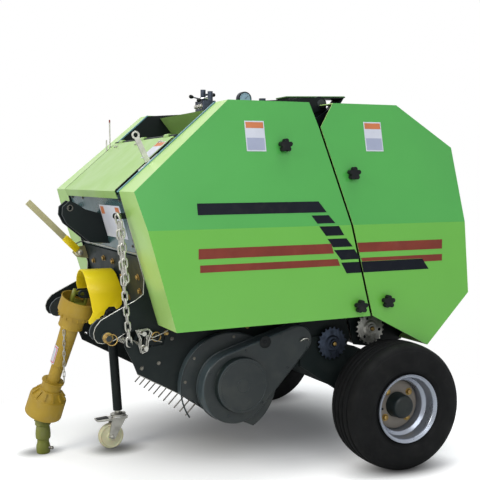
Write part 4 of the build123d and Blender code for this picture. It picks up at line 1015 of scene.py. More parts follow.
@dataclass
class DriveShaft(Assembly):
    """Guards, yokes, label and chain of the drive shaft."""

    joint: Spot = (1125.0, 0.0, 700.0)
    lean: Flat = (0.223, -0.31)
    lower_at: float = 575.0
    upper_ribs: int = 16
    lower_ribs: int = 12

    def way(self) -> Vector:
        """Give the direction down the shaft."""
        x, y = self.lean
        return Vector((x, y, -sqrt(1 - x * x - y * y)))

    def at(self, distance: float, out: Vector | None = None, radius: float = 0.0) -> Vector:
        """Find a point along the shaft.

        Args:
            distance: Millimetres from the upper joint.
            out: Direction square to the shaft.
            radius: Millimetres that way.

        Returns:
            The point in millimetres.
        """
        point = Vector(self.joint) + self.way() * distance
        return point + out * radius if out else point

    def near_side(self, turn: float) -> Vector:
        """Give the direction that faces left and forward, turned about the shaft."""
        out = Vector((0.3479, 0.911, -0.2216)).normalized()
        return Matrix.Rotation(radians(turn), 3, self.way()) @ out

    def rib(self, foot: Vector, side: Vector, up: Vector, push: Vector, half: float, rise: float) -> Prism:
        """Describe one rib on a guard.

        Args:
            foot: Middle of the rib's lower end.
            side: Direction across the rib.
            up: Direction out of the guard.
            push: Where the rib runs to.
            half: Half of its width.
            rise: Its height.

        Returns:
            The rib.
        """
        section = ((-half, 0), (half, 0), (half, rise), (-half, rise))
        return Prism([foot + side * a + up * b for a, b in section], push, 0.6)

    def guards(self) -> list[Piece]:
        """List the two ochre guards with their ribs."""
        way = self.way()
        upper = [(22, 69), (22, 73), (27, 73), (29, 71.6), (80, 72.6), (84, 72.6), (85, 67), (106, 60.5), (108, 60.5)]
        upper += [(110, 53), (146, 50), (148, 51.4), (152, 51.4), (153, 38), (328, 33.6), (330, 33), (330, 27.6)]
        upper += [(150, 27.6), (112, 46), (98, 58), (84, 66), (80, 68)]
        lower = [(410, 28), (410, 47.5), (415, 47.5), (416, 43), (448, 41), (450, 46), (458, 48), (484, 73), (486, 77)]
        lower += [(488, 78), (560, 79), (566, 79), (570, 77.6), (570, 75), (490, 73), (484, 68), (458, 42), (452, 28)]
        inner = [(190, 0), (190, 26.6), (412, 26.6), (412, 0)]
        shells = [Lathe(upper, self.joint, way, 72)], [Lathe(lower, self.joint, way, 72)]
        for step in range(self.upper_ribs):
            out = self.near_side(360 / self.upper_ribs * step)
            shells[0].append(self.rib(self.at(86, out, 58), way.cross(out), out, way * 21, 1.6, 8))
        for step in range(self.lower_ribs):
            out = self.near_side(360 / self.lower_ribs * step + 8)
            slant = (way * 27 + out * 26).normalized()
            up = (out - slant * out.dot(slant)).normalized()
            shells[1].append(self.rib(self.at(457, out, 46), up.cross(slant), up, slant * 34, 2, 7))
        shells[1].append(Lathe(inner, self.joint, way, 40))
        looks = (Finish.OCHRE_PLASTIC, Slot.OCHRE)
        return [
            Piece("guard_upper", *looks, shells[0], Body.SHAFT_UPPER, ("pto_upper",)),
            Piece("guard_lower", *looks, shells[1], Body.SHAFT_LOWER, ("pto_lower",)),
        ]

    def fork(self, name: str, middle: Vector, along: Vector, pin: Vector, reach: float, body: Body) -> Piece:
        """Describe a yoke: its two arms, collar, caps and cross pin.

        Args:
            name: Name of the piece.
            middle: Centre of the joint's cross.
            along: Direction from the cross to the collar.
            pin: Direction of the cross pin in the arms.
            reach: Millimetres from the cross to the collar.
            body: Body that it rides on.

        Returns:
            The yoke.
        """
        across = along.cross(pin).normalized()
        outline = ((-17, 6), (-13, -10), (0, -17), (13, -10), (17, 6), (19, reach), (-19, reach))
        shapes = []
        for sign in (1, -1):
            corners = [middle + across * a + along * b + pin * (sign * 23) for a, b in outline]
            shapes.append(Prism(corners, pin * (sign * 10), 1.8))
        collar = [(reach - 8, 0), (reach - 8, 30), (reach, 33), (reach + 12, 33), (reach + 18, 27), (reach + 18, 0)]
        cup = [(-33, 0), (-33, 8), (-31, 10.5), (-22, 10.5), (-22, 0)]
        shapes.append(Lathe(collar, middle, along, 40))
        shapes += [Lathe(cup, middle, pin * sign, 24) for sign in (1, -1)]
        shapes.append(Lathe([(-23, 0), (-23, 8), (23, 8), (23, 0)], middle, pin))
        return Piece(name, Finish.OLIVE, Slot.OLIVE, shapes, body)

    def yokes(self) -> list[Piece]:
        """List the yokes inside and under the guards, and the hub with its lock pin."""
        way = self.way()
        joint = self.at(self.lower_at)
        side = way.cross(Vector(UP)).normalized()
        down = Vector((0, 0, -1))
        foot = Vector((joint.x, joint.y, 0))
        hub = [(0, 17.6), (0, 24), (3, 28), (26, 30), (40, 28), (48, 25), (60, 25), (66, 31), (84, 32), (100, 31)]
        hub += [(118, 28), (124, 24), (124, 17.6)]
        push = [(24, 0), (24, 7), (34, 7), (35, 5), (38, 5), (39, 7), (46, 7), (47, 5.6), (47, 0)]
        button = Lathe(push, foot + Vector((0, 0, 26)), (-0.75, 0.66, 0))
        return [
            self.fork("yoke_upper", self.at(0), way, Vector(LEFT).cross(way).normalized(), 46, Body.SHAFT_UPPER),
            self.fork("yoke_middle", joint, -way, side, 34, Body.SHAFT_LOWER),
            self.fork("yoke_lower", joint, down, side.cross(down).normalized(), 32, Body.SHAFT_LOWER),
            Piece("shaft_hub", Finish.OLIVE, Slot.OLIVE, [Lathe(hub, foot, UP, 44, 1.5, 20)], Body.SHAFT_LOWER),
            Piece("shaft_lock_pin", Finish.STEEL, Slot.STEEL, [button], Body.SHAFT_LOWER),
        ]

    def label(self) -> list[Piece]:
        """List the sheets of the bare label, bent round the guard's tube."""
        sheets = []
        for name, low, high, radius, span, finish in (
            ("shaft_label", 244, 326, 37.2, 50, Finish.LABEL_WHITE),
            ("shaft_label_frame", 248, 322, 37.4, 44, Finish.LABEL_PINK),
            ("shaft_label_field", 253, 317, 37.6, 34, Finish.LABEL_WHITE),
        ):
            profile = [(low, radius), (high, radius - 1.6), (high, radius - 3.4), (low, radius - 1.8)]
            start = self.near_side(58 + span / 2)
            sheet = Lathe(profile, self.joint, self.way(), 12, angle=span, start=start)
            sheets.append(Piece(name, finish, Slot.OCHRE, [sheet], Body.SHAFT_UPPER))
        return sheets

    def pieces(self) -> list[Piece]:
        """List the whole shaft."""
        start, end = self.at(160, self.near_side(26), 44), self.at(380, self.near_side(-44), 64)
        chain = Chain(start, end, 10, 2.0, 12.0, 1.25)
        return [
            *self.guards(), *self.yokes(), *self.label(),
            Piece("guard_chain", Finish.ZINC, Slot.ZINC, [chain], Body.SHAFT_UPPER),
        ]


@dataclass
class HitchFittings(Assembly):
    """Chains, pins, clips, spring and edges of the front plates."""

    chain_top: Spot = (1091.0, 428.0, 1036.0)
    chain_foot: Spot = (1053.0, 428.0, 550.0)
    return_top: Spot = (1087, 455, 1012)
    return_foot: Spot = (1069, 455, 792)
    link_pin: Flat = (1132.0, 582.0)
    small_pin: Flat = (946.0, 574.0)
    spring_from: Spot = (1085, 376, 574)
    spring_to: Spot = (1003, 376, 538)
    spring_turns: int = 14
    turn_steps: int = 8

    def chains(self) -> list[Piece]:
        """List the lift chain, its doubled part and the hooks between them."""
        hook = [(1091, 424, 1040), (1094, 430, 1046), (1098, 446, 1040), (1092, 455, 1030), self.return_top]
        bow = [(1069, 455, 798), (1070, 456, 784), (1071, 446, 774), (1072, 436, 776), (1072, 430, 790)]
        rows = (
            ("lift_chain_links", Chain(self.chain_top, self.chain_foot, 17, 4.0, 26.0)),
            ("lift_chain_return", Chain(self.return_top, self.return_foot, 8, 4.0, 26.0, first_flat=False)),
            ("chain_hook", Wire(hook, 4.2)),
            ("chain_bow", Wire(bow, 4.0)),
        )
        return [
            Piece(name, Finish.ZINC, Slot.ZINC, [shape], stands_for=("lift_chain",) if name.endswith("links") else ())
            for name, shape in rows
        ]

    def shackle(self) -> Piece:
        """Describe the straps and bolts at the chain's foot."""
        strap = [(1024, 602), (978, 606), (968, 594), (982, 560), (986, 526), (1006, 518), (1012, 542), (1010, 572)]
        bolt = [(0, 0), (0, 9), (5, 9), (6, 5.5), (34, 5.5), (34, 8.5), (40, 8.5), (40, 0)]
        shapes: list[Shape] = [straight([(x, y, z) for x, z in strap], 2.6, True, 3) for y in (437, 417)]
        shapes += [Lathe(bolt, spot) for spot in ((994, 408, 536), (1000, 408, 592))]
        return Piece("chain_shackle", Finish.ZINC, Slot.ZINC, shapes)

    def pins(self) -> list[Piece]:
        """List the ends, rings and clips of the link pins and the small pins."""
        x, z = self.link_pin
        collar = [(416, 11.2), (416, 20), (419, 20.5), (420, 18), (422, 14), (424, 11.6)]
        end = [(424, 0), (424, 12), (431, 12), (433.5, 9.5), (433.5, 0)]
        link = [Lathe(collar, (x, 0, z), LEFT, 36), Lathe(end, (x, 0, z), LEFT, 28)]
        linch = ring((x - 12, 430, z - 6), (0.45, 1, 0.25), 20, 2.0)
        x, z = self.small_pin
        end = [(430, 0), (430, 8.4), (436, 8.4), (438, 6), (438, 0)]
        small = [ring((x, 424, z), LEFT, 17, 2.6), Lathe(end, (x, -8, z), LEFT, 24)]
        bends = ((-44, 22), (-18, 10), (0, 4), (18, -2), (34, 12), (44, 0), (34, -12), (18, -6), (4, -14), (-20, -20))
        clip = Wire([(x + a, 431, z + b) for a, b in bends], 1.9)
        return twins(
            Piece("link_pin_end", Finish.GOLD_ZINC, Slot.ZINC, link),
            Piece("linch_ring", Finish.GOLD_ZINC, Slot.ZINC, [linch]),
            Piece("small_pin_end", Finish.GOLD_ZINC, Slot.ZINC, small),
            Piece("spring_clip", Finish.ZINC, Slot.ZINC, [clip]),
        )

    def spring(self) -> Piece:
        """Describe the return spring on its rod."""
        start, end = Vector(self.spring_from), Vector(self.spring_to)
        along = (end - start).normalized()
        out = along.orthogonal().normalized()
        side = along.cross(out)
        points = []
        steps = self.spring_turns * self.turn_steps
        for step in range(steps + 1):
            angle = step * 2 * pi / self.turn_steps
            middle = start + (end - start) * (step / steps)
            points.append(middle + (out * cos(angle) + side * sin(angle)) * 11)
        rod = straight([start - along * 30, start, end, end + along * 30], 3.0, sides=3)
        return Piece("return_spring", Finish.ZINC, Slot.ZINC, [straight(points, 1.8), rod])

    def edges(self) -> list[Piece]:
        """List the bright cut edges, partly bare metal and partly painted highlight, the painted blue highlights along
        the sloping top edges, and the gussets of the plates.
        """
        nose = [(1076, 1118), (986, 792), (990, 735), (1021, 714), (1118, 667), (1156, 647), (1176, 623), (1183, 601)]
        nose += [(1180, 582), (1169, 566), (1150, 561), (1108, 569), (1082, 582), (1057, 596)]
        slope = [(690, 1458), (1078, 1121), (1082, 1118), (1085.4, 1121.6), (1081, 1125.6), (693.4, 1462)]
        gusset = [(149, 401), (45, 403), (30, 428), (32, 448), (66, 463), (97, 472), (106, 482)]
        pickup = [(1018, 434), (746, 284), (690, 257)]
        rows = (
            # Bright wire along the nose edge: partly bare cut metal, partly painted highlight where the edge catches
            # the light.
            ("plate_bare_edge_and_highlight", Finish.ZINC, straight([(x, 407.4, z) for x, z in nose], 1.5)),
            ("pickup_edge", Finish.ZINC, straight([(x, PICKUP_PLATE_Y, z) for x, z in pickup], 1.4)),
            # Painted highlight: a steel-blue strip along each plate's sloping top edge.
            ("plate_top_edge_highlight", Finish.EDGE_HIGHLIGHT_BLUE, slab(slope, 399, 408.4, 0.8)),
            ("plate_gusset", Finish.DARK_TEAL, slab(gusset, 401, 407, 0.6)),
        )
        return twins(*(Piece(name, finish, Slot.BLACK, [shape]) for name, finish, shape in rows))

    def pieces(self) -> list[Piece]:
        """List everything at the front plates."""
        return [*self.chains(), *self.pins(), self.shackle(), self.spring(), *self.edges()]


@dataclass
class ParkingStand(Assembly):
    """Leg collar, swivel, fork fittings and castor wheel."""

    top: Spot = (966.0, -124.0, 617.0)
    tilt: float = 3.5
    length: float = 474.99
    wheel_r: float = 55.0
    trail: float = 34.0

    def pieces(self) -> list[Piece]:
        """List the stand's fittings."""
        up = Vector((sin(radians(self.tilt)), 0, cos(radians(self.tilt))))
        foot = Vector(self.top) - up * self.length
        collar = [(-62, 26), (-62, 29), (-60, 31), (-52, 31), (-50, 29.4), (-47, 29.4), (-45, 31), (-34, 31)]
        collar += [(-31, 29), (-31, 26)]
        stem = [(0, 0), (0, 33), (2, 33.6), (6.6, 33.6), (8, 31), (9, 24), (12, 18), (13, 13), (22, 13), (22, 0)]
        race = [(-4.4, 0), (-4.4, 33.6), (-3.6, 34.6), (-1.2, 34.6), (-0.6, 33.6), (-0.6, 0)]
        return [
            Piece("leg_collar", Finish.CASE_GREY, Slot.BLACK, [Lathe(collar, self.top, up, 40)]),
            Piece("swivel_upper", Finish.ZINC, Slot.ZINC, [Lathe(stem, foot, up, 40)], Body.LEG),
            Piece("swivel_lower", Finish.CHROME, Slot.ZINC, [Lathe(race, foot, up, 40)], Body.FORK),
            *self.pedal(foot, up), *self.wheel(foot),
        ]

    def pedal(self, foot: Vector, up: Vector) -> list[Piece]:
        """List the pedal's rims and its dark pad."""
        ahead = Vector((up.z, 0, -up.x))
        base = foot - up * 9.2
        fold = ((-34, -7), (30, -7), (98, -2), (101, 2), (100, 6), (46, 6), (40, 0), (-36, 0))
        rims = []
        for sign in (1, -1):
            corners = [base + ahead * a + Vector((0, sign * 24, 0)) + up * b for a, b in fold]
            rims.append(Prism(corners, (0, sign * 1.6, 0), 0.4))
        outline = ((46, -17), (94, -17), (97, -12), (97, 12), (94, 17), (46, 17))
        pad = Prism([base + ahead * a + Vector((0, b, 0)) + up * 4.3 for a, b in outline], up * 1.6, 0.5)
        return [
            Piece("pedal_rims", Finish.ZINC, Slot.ZINC, rims, Body.FORK),
            Piece("pedal_pad", Finish.BLACK_PLASTIC, Slot.ZINC, [pad], Body.FORK),
        ]

    def wheel(self, foot: Vector) -> list[Piece]:
        """List the nylon wheel and its axle nuts."""
        middle = Vector((foot.x + self.trail, foot.y, self.wheel_r))
        half = [(13.6, 44), (13.6, 24), (15, 20), (18.5, 18), (19, 14), (19, 6.2)]
        tread = [(-16, 47), (-15, 52), (-10, 54.4), (0, 55), (10, 54.4), (15, 52), (16, 47)]
        profile = [(-a, r) for a, r in reversed(half)] + tread + half
        nuts = [Bolts([middle + Vector(out) * 24.4], out, 8, 1.2) for out in (LEFT, RIGHT)]
        return [
            Piece(
                "castor_tread", Finish.NYLON, Slot.NYLON, [Lathe(profile, middle, LEFT, 64)], Body.CASTOR,
                ("castor_wheel",),
            ),
            Piece("castor_nuts", Finish.ZINC, Slot.ZINC, nuts, Body.FORK),
        ]


@dataclass
class Incline:
    """Flat sheet that spans the machine and slopes between two XZ points."""

    low: Flat
    high: Flat
    lift: float

    def out(self) -> Vector:
        """Give the direction square to the sheet, to the front."""
        rise = Vector((self.high[0] - self.low[0], 0, self.high[1] - self.low[1])).normalized()
        return Vector((rise.z, 0, -rise.x))

    def at(self, share: float, y: float, lift: float) -> Vector:
        """Find a point on the sheet.

        Args:
            share: 0 at its low end and 1 at its high end.
            y: Millimetres to the left.
            lift: Millimetres off its face.

        Returns:
            The point in millimetres.
        """
        x = self.low[0] + share * (self.high[0] - self.low[0])
        z = self.low[1] + share * (self.high[1] - self.low[1])
        return Vector((x, y, z)) + self.out() * (self.lift + lift)

    def at_height(self, y: float, z: float, lift: float) -> Vector:
        """Find the point on the sheet at a height."""
        return self.at((z - self.low[1]) / (self.high[1] - self.low[1]), y, lift)


@dataclass
class FrontPanel(Assembly):
    """Bare sign, lip and bolts of the sloping wall and the drive plate, and the hand lever."""

    wall: Incline
    plate: Incline
    lever_foot: Spot = (1034, -342, 838)

    def sheet(self, across: Flat, height: Flat, lift: float, thickness: float, bevel: float = 0.0) -> Prism:
        """Describe a thin plate on the wall.

        Args:
            across: Its right and left end in millimetres to the left.
            height: Its lower and upper end above the ground.
            lift: Height of its back over the wall.
            thickness: Thickness of the plate.
            bevel: Width of its rounded edges.

        Returns:
            The plate.
        """
        (right, left), (low, high) = across, height
        corners = [self.wall.at_height(y, z, lift) for y, z in ((right, low), (left, low), (left, high), (right, high))]
        return Prism(corners, self.wall.out() * thickness, bevel)

    def panels(self) -> list[Piece]:
        """List the bare sign, the wall's lip and the bolts."""
        patches = [self.sheet(across, (1030, 1060), 1.3, 0.3) for across in ((58, 104), (262, 312))]
        lip = [self.wall.at_height(y, 888, 0.6) for y in (-396, -200, 0, 200, 396)]
        spots = ((360, 1090), (-360, 1090), (360, 915), (-360, 915), (-180, 1090), (120, 1104))
        wall_bolts = Bolts([self.wall.at_height(y, z, 0.2) for y, z in spots], self.wall.out(), 5, turn=0)
        spots = ((-297, 808), (22, 831), (-108, 835), (323, 794), (297, 736), (110, 780), (110, 690), (-215, 760))
        plate_bolts: list[Shape] = [
            Bolts([self.plate.at_height(y, z, 0)], self.plate.out(), 10, 2, first=0.3 * y) for y, z in spots
        ]
        screws = [(1050, y, z) for y in (-50, 50) for z in (645, 752)]
        bushes = [ring((1172, y, 1052), LEFT, 11.6, 1.3) for y in (-39.6, -26.4, 26.4, 39.6)]
        return [
            Piece("wall_sign", Finish.LABEL_WHITE, Slot.BLACK, [self.sheet((46, 326), (938, 1066), 0.1, 1.2, 0.4)]),
            Piece("wall_sign_patches", Finish.LABEL_ORANGE, Slot.BLACK, patches),
            Piece("wall_lip", Finish.ZINC, Slot.BLACK, [straight(lip, 2.2)]),
            Piece("wall_bolts", Finish.DULL_ZINC, Slot.BLACK, [wall_bolts]),
            Piece("drive_plate_bolts", Finish.GOLD_ZINC, Slot.ZINC, plate_bolts),
            Piece("gearbox_bolts", Finish.ZINC, Slot.ZINC, [Bolts(screws, AHEAD, 8)]),
            Piece("top_link_bushes", Finish.DULL_ZINC, Slot.BLACK, bushes),
        ]

    def lever(self) -> list[Piece]:
        """List the hand lever's sleeve, pin and rod."""
        way = Vector((230, 0, 232)).normalized()
        across = Vector((way.z, 0, -way.x))
        outline = ((18, -15.4), (96, -15.4), (100, -14), (100, 14), (96, 15.4), (18, 15.4))
        sleeve = Prism([Vector(self.lever_foot) + way * a + across * b for a, b in outline], (0, -16, 0), 1.2)
        pin = [(0, 0), (0, 12), (3, 12), (6, 8), (14, 8), (14, 0)]
        rod = [(1066, -346, 872), (1048, -350, 884), (1022, -360, 890)]
        return [
            Piece("lever_sleeve", Finish.SHIELD_YELLOW, Slot.OLIVE, [sleeve]),
            Piece("lever_pivot_pin", Finish.ZINC, Slot.OLIVE, [Lathe(pin, self.lever_foot, LEFT, 24)]),
            Piece("lever_rod", Finish.ZINC, Slot.OLIVE, [Wire(rod, 3)]),
        ]

    def pieces(self) -> list[Piece]:
        """List all fittings of the front."""
        return [*self.panels(), *self.lever()]


@dataclass(frozen=True)
class ShaftShield(Shape):
    """Moulded half pipe, cut flat as (x, distance from the top line) and bent round."""

    axis_z: float = 703.5
    radius: float = 91.0
    thickness: float = 4.0

    CUTS, CUT_STEP = 14, 10.0
    OUTLINE = (
        (1124, 0), (1123, 81), (1120, 116), (1110, 155), (1104, 193), (1100, 215), (1108, 233), (1118, 246),
        (1118, 257), (1112, 263), (1096, 256), (1077, 246), (1067, 232), (1055, 228), (1047, 209), (1034, 196),
        (1010, 196), (1002, 208), (990, 203), (979, 189), (974, 141), (981, 118), (988, 83), (996, 0), (988, -83),
        (981, -118), (974, -141), (979, -189), (990, -203), (1010, -206), (1040, -224), (1062, -246),
        (1070, -256), (1076, -250), (1099, -214), (1104, -193), (1110, -155), (1120, -116), (1123, -81),
    )

    def section(self, along: float) -> Flat:
        """Find the y and z of a distance from the top line, left side positive."""
        quarter = self.radius * pi / 2
        if abs(along) <= quarter:
            angle = along / self.radius
            return (self.radius * sin(angle), self.axis_z + self.radius * cos(angle))
        return (self.radius if along > 0 else -self.radius, self.axis_z - (abs(along) - quarter))

    def make(self, sign: int = 1) -> Object:
        """Cut the flat sheet, bend it round and thicken it outwards."""
        corners = [Vector((x * MM, s * MM, 0)) for x, s in self.OUTLINE]
        sheet = drawn(corners, [tuple(range(len(corners)))])
        with editing(sheet):
            for cut in range(-self.CUTS, self.CUTS + 1):
                bpy.ops.mesh.select_all(action="SELECT")
                bpy.ops.mesh.bisect(plane_co=(0, cut * self.CUT_STEP * MM, 0), plane_no=LEFT)
        for corner in sheet.data.vertices:
            corner.co = place((corner.co.x / MM, *self.section(corner.co.y / MM)), sign)
        outwards(sheet)
        hold(sheet)
        # The bent sheet's normals may all face in or all face out.
        axis = Vector((0, 0, self.axis_z * MM))
        outer = sum(1 if p.normal.dot(sided((0, *(p.center - axis).yz), 1)) > 0 else -1 for p in sheet.data.polygons)
        thicken = sheet.modifiers.new("thicken", "SOLIDIFY")
        thicken.thickness = self.thickness * MM
        thicken.offset = 1 if outer > 0 else -1
        bpy.ops.object.modifier_apply(modifier=thicken.name)
        return bevelled(outwards(sheet), 1.2, 50)


@dataclass
class HoodFittings(Assembly):
    """Label, screws and latch of the hood, and dark strips of painted shade in the gaps at its sides."""

    hood: Incline
    half: float = 385.0

    def pieces(self) -> list[Piece]:
        """List the hood's fittings; shares count from its front to its hinge."""
        out = self.hood.out()
        plate, strip = (
            [self.hood.at(s, y, lift) for s, y in ((rear, right), (front, right), (front, left), (rear, left))]
            for rear, front, right, left, lift in ((0.9, 0.6, 268, 374, 0.1), (0.89, 0.82, 274, 368, 0.9))
        )
        screws = [self.hood.at(0.91, y, 0) for y in (-315, -285, -15, 15, 285, 315)]
        # Painted shade: black strips just below the hood's side edges stand in for the shade in the gaps beside it.
        gap_shade_strips = [
            straight([self.hood.at(s, sign * (self.half + 2.6), -1.6) for s in (0.97, 0.65, 0.3, 0.01)], 2.4)
            for sign in (1, -1)
        ]
        handle = [(905, 1262), (926, 1246), (946, 1236), (962, 1222), (984, 1208), (990, 1200), (998, 1196)]
        tip = [(1424, 0), (1424, 3.6), (1435, 3.6), (1437, 2.2), (1437, 0)]
        return [
            Piece("hood_label", Finish.LABEL_WHITE, Slot.PALE_GREEN, [Prism(plate, out * 0.8, 0.3)], Body.LID),
            Piece("hood_label_head", Finish.LABEL_ORANGE, Slot.PALE_GREEN, [Prism(strip, out * 0.3)], Body.LID),
            Piece("hood_screws", Finish.ZINC, Slot.PALE_GREEN, [Bolts(screws, out, 5, turn=0)], Body.LID),
            Piece("hood_gap_shades", Finish.BLACK_PLASTIC, Slot.PALE_GREEN, gap_shade_strips, Body.LID),
            Piece("latch_ring", Finish.ZINC, Slot.ZINC, [ring((1008, 395.5, 1330), LEFT, 13, 2.6)]),
            Piece("latch_handle", Finish.ZINC, Slot.ZINC, [Wire([(x, 397, z) for x, z in handle], 4.4)]),
            Piece("rod_tips", Finish.VINYL_RED, Slot.ZINC, [Lathe(tip, (876, -396.3, 0), UP, 16)]),
        ]


@dataclass
class RoofGear(Assembly):
    """Valve levers, pipes, nuts and gauge on the roof."""

    gauge: Spot = (470.0, 200.0, 1496.0)
    marks_count: int = 11
    marks_step: float = 27.0

    LEVERS = (
        ((580, 35, 1488), (586, 35, 1500), (622, 38, 1508), (648, 44, 1512)),
        ((600, 60, 1500), (598, 62, 1508), (578, 64, 1514), (556, 66, 1520)),
        ((580, 90, 1492), (590, 90, 1502), (612, 92, 1506), (634, 96, 1494)),
    )
    PIPES = (
        ((560, 40, 1470), (540, 40, 1470), (528, 60, 1462), (520, 120, 1456), (516, 200, 1454), (516, 300, 1454)),
        ((560, 75, 1472), (546, 75, 1472), (536, 90, 1464), (530, 140, 1456), (528, 220, 1454), (528, 300, 1454)),
    )

    def marks(self) -> list[Shape]:
        """List the dial's marks and its hand."""
        x, y, z = self.gauge
        marks = []
        for step in range(self.marks_count):
            inner = 17 if step % 5 == 0 else 19.5
            ends = [polar((x, z), radius, radians(-45 + self.marks_step * step)) for radius in (inner, 22.5)]
            marks.append(straight([(a, y + 2.7, b) for a, b in ends], 0.5, sides=1))
        return [*marks, straight([(x, y + 3.2, z), (x - 12, y + 3.2, z + 11)], 0.8, sides=1)]

    def pieces(self) -> list[Piece]:
        """List the roof's gear."""
        case = [(-14, 0), (-14, 22), (-12, 26), (-4, 28), (2, 29.5), (4, 28.5), (4, 25.5), (1, 25), (1, 0)]
        face = [(1.2, 0), (1.2, 25), (2.2, 25), (2.4, 24), (2.4, 0)]
        grip = [(-4, 0), (-4, 5), (2, 7.6), (8, 8.4), (13, 6.4), (15, 3), (15, 0)]
        grips = []
        for *_, before, tip in self.LEVERS:
            way = (Vector(tip) - Vector(before)).normalized()
            grips.append(Lathe(grip, Vector(tip) - way * 6, way))
        nuts = [(620.2, y, 1470) for y in (30, 60, 90)]
        rows = (
            ("gauge_case", Finish.BLACK_PLASTIC, [Lathe(case, self.gauge, LEFT, 48)]),
            ("gauge_face", Finish.GLASS_BLUE, [Lathe(face, self.gauge, LEFT, 40)]),
            ("gauge_marks", Finish.BLACK_PLASTIC, self.marks()),
            ("valve_levers", Finish.CHROME, [Wire(line, 3.2) for line in self.LEVERS]),
            ("valve_grips", Finish.BLACK_PLASTIC, grips),
            ("valve_pipes", Finish.STEEL, [Wire(line, 4.5) for line in self.PIPES]),
            ("valve_nuts", Finish.ZINC, [Bolts(nuts, AHEAD, 8)]),
        )
        return [Piece(name, finish, Slot.VALVE, shapes) for name, finish, shapes in rows]


@dataclass
class TailgateFittings(Assembly):
    """Green skin of the strap, hinge caps, cylinder pins and beam bolts."""

    hinge: Spot = (227.0, 0, 1467.0)
    cylinder_pin: Spot = (330.0, 0, 760.0)

    def pieces(self) -> list[Piece]:
        """List the tailgate's fittings."""
        skin = [(200.4, 1528.4), (-96.6, 1537.4), (-101.6, 1534), (-101, 1530), (-96, 1532.4), (199, 1523.4)]
        pin = [(468, 0), (468, 14), (470, 16), (473, 16), (475, 12), (476, 0)]
        cap = [(408.2, 0), (408.2, 17), (411, 17), (412, 14), (412.6, 0)]
        bolts = [(x, PLATE_Y, z) for x, z in ((125, 1432), (-45, 1425), (-285, 1165), (-195, 560))]
        return [
            Piece("strap_skin", Finish.STRAP_GREEN, Slot.GREEN, [slab(skin, -52.4, 52.4, 0.8)], Body.GATE),
            *twins(
                Piece("cylinder_pin", Finish.ZINC, Slot.ZINC, [Lathe(pin, self.cylinder_pin, LEFT, 28)]),
                Piece("hinge_cap", Finish.CASE_GREY, Slot.ZINC, [Lathe(cap, self.hinge, LEFT, 28)]),
            ),
            *twins(Piece("gate_bolts", Finish.ZINC, Slot.ZINC, [Bolts(bolts, LEFT, 9)], Body.GATE)),
        ]


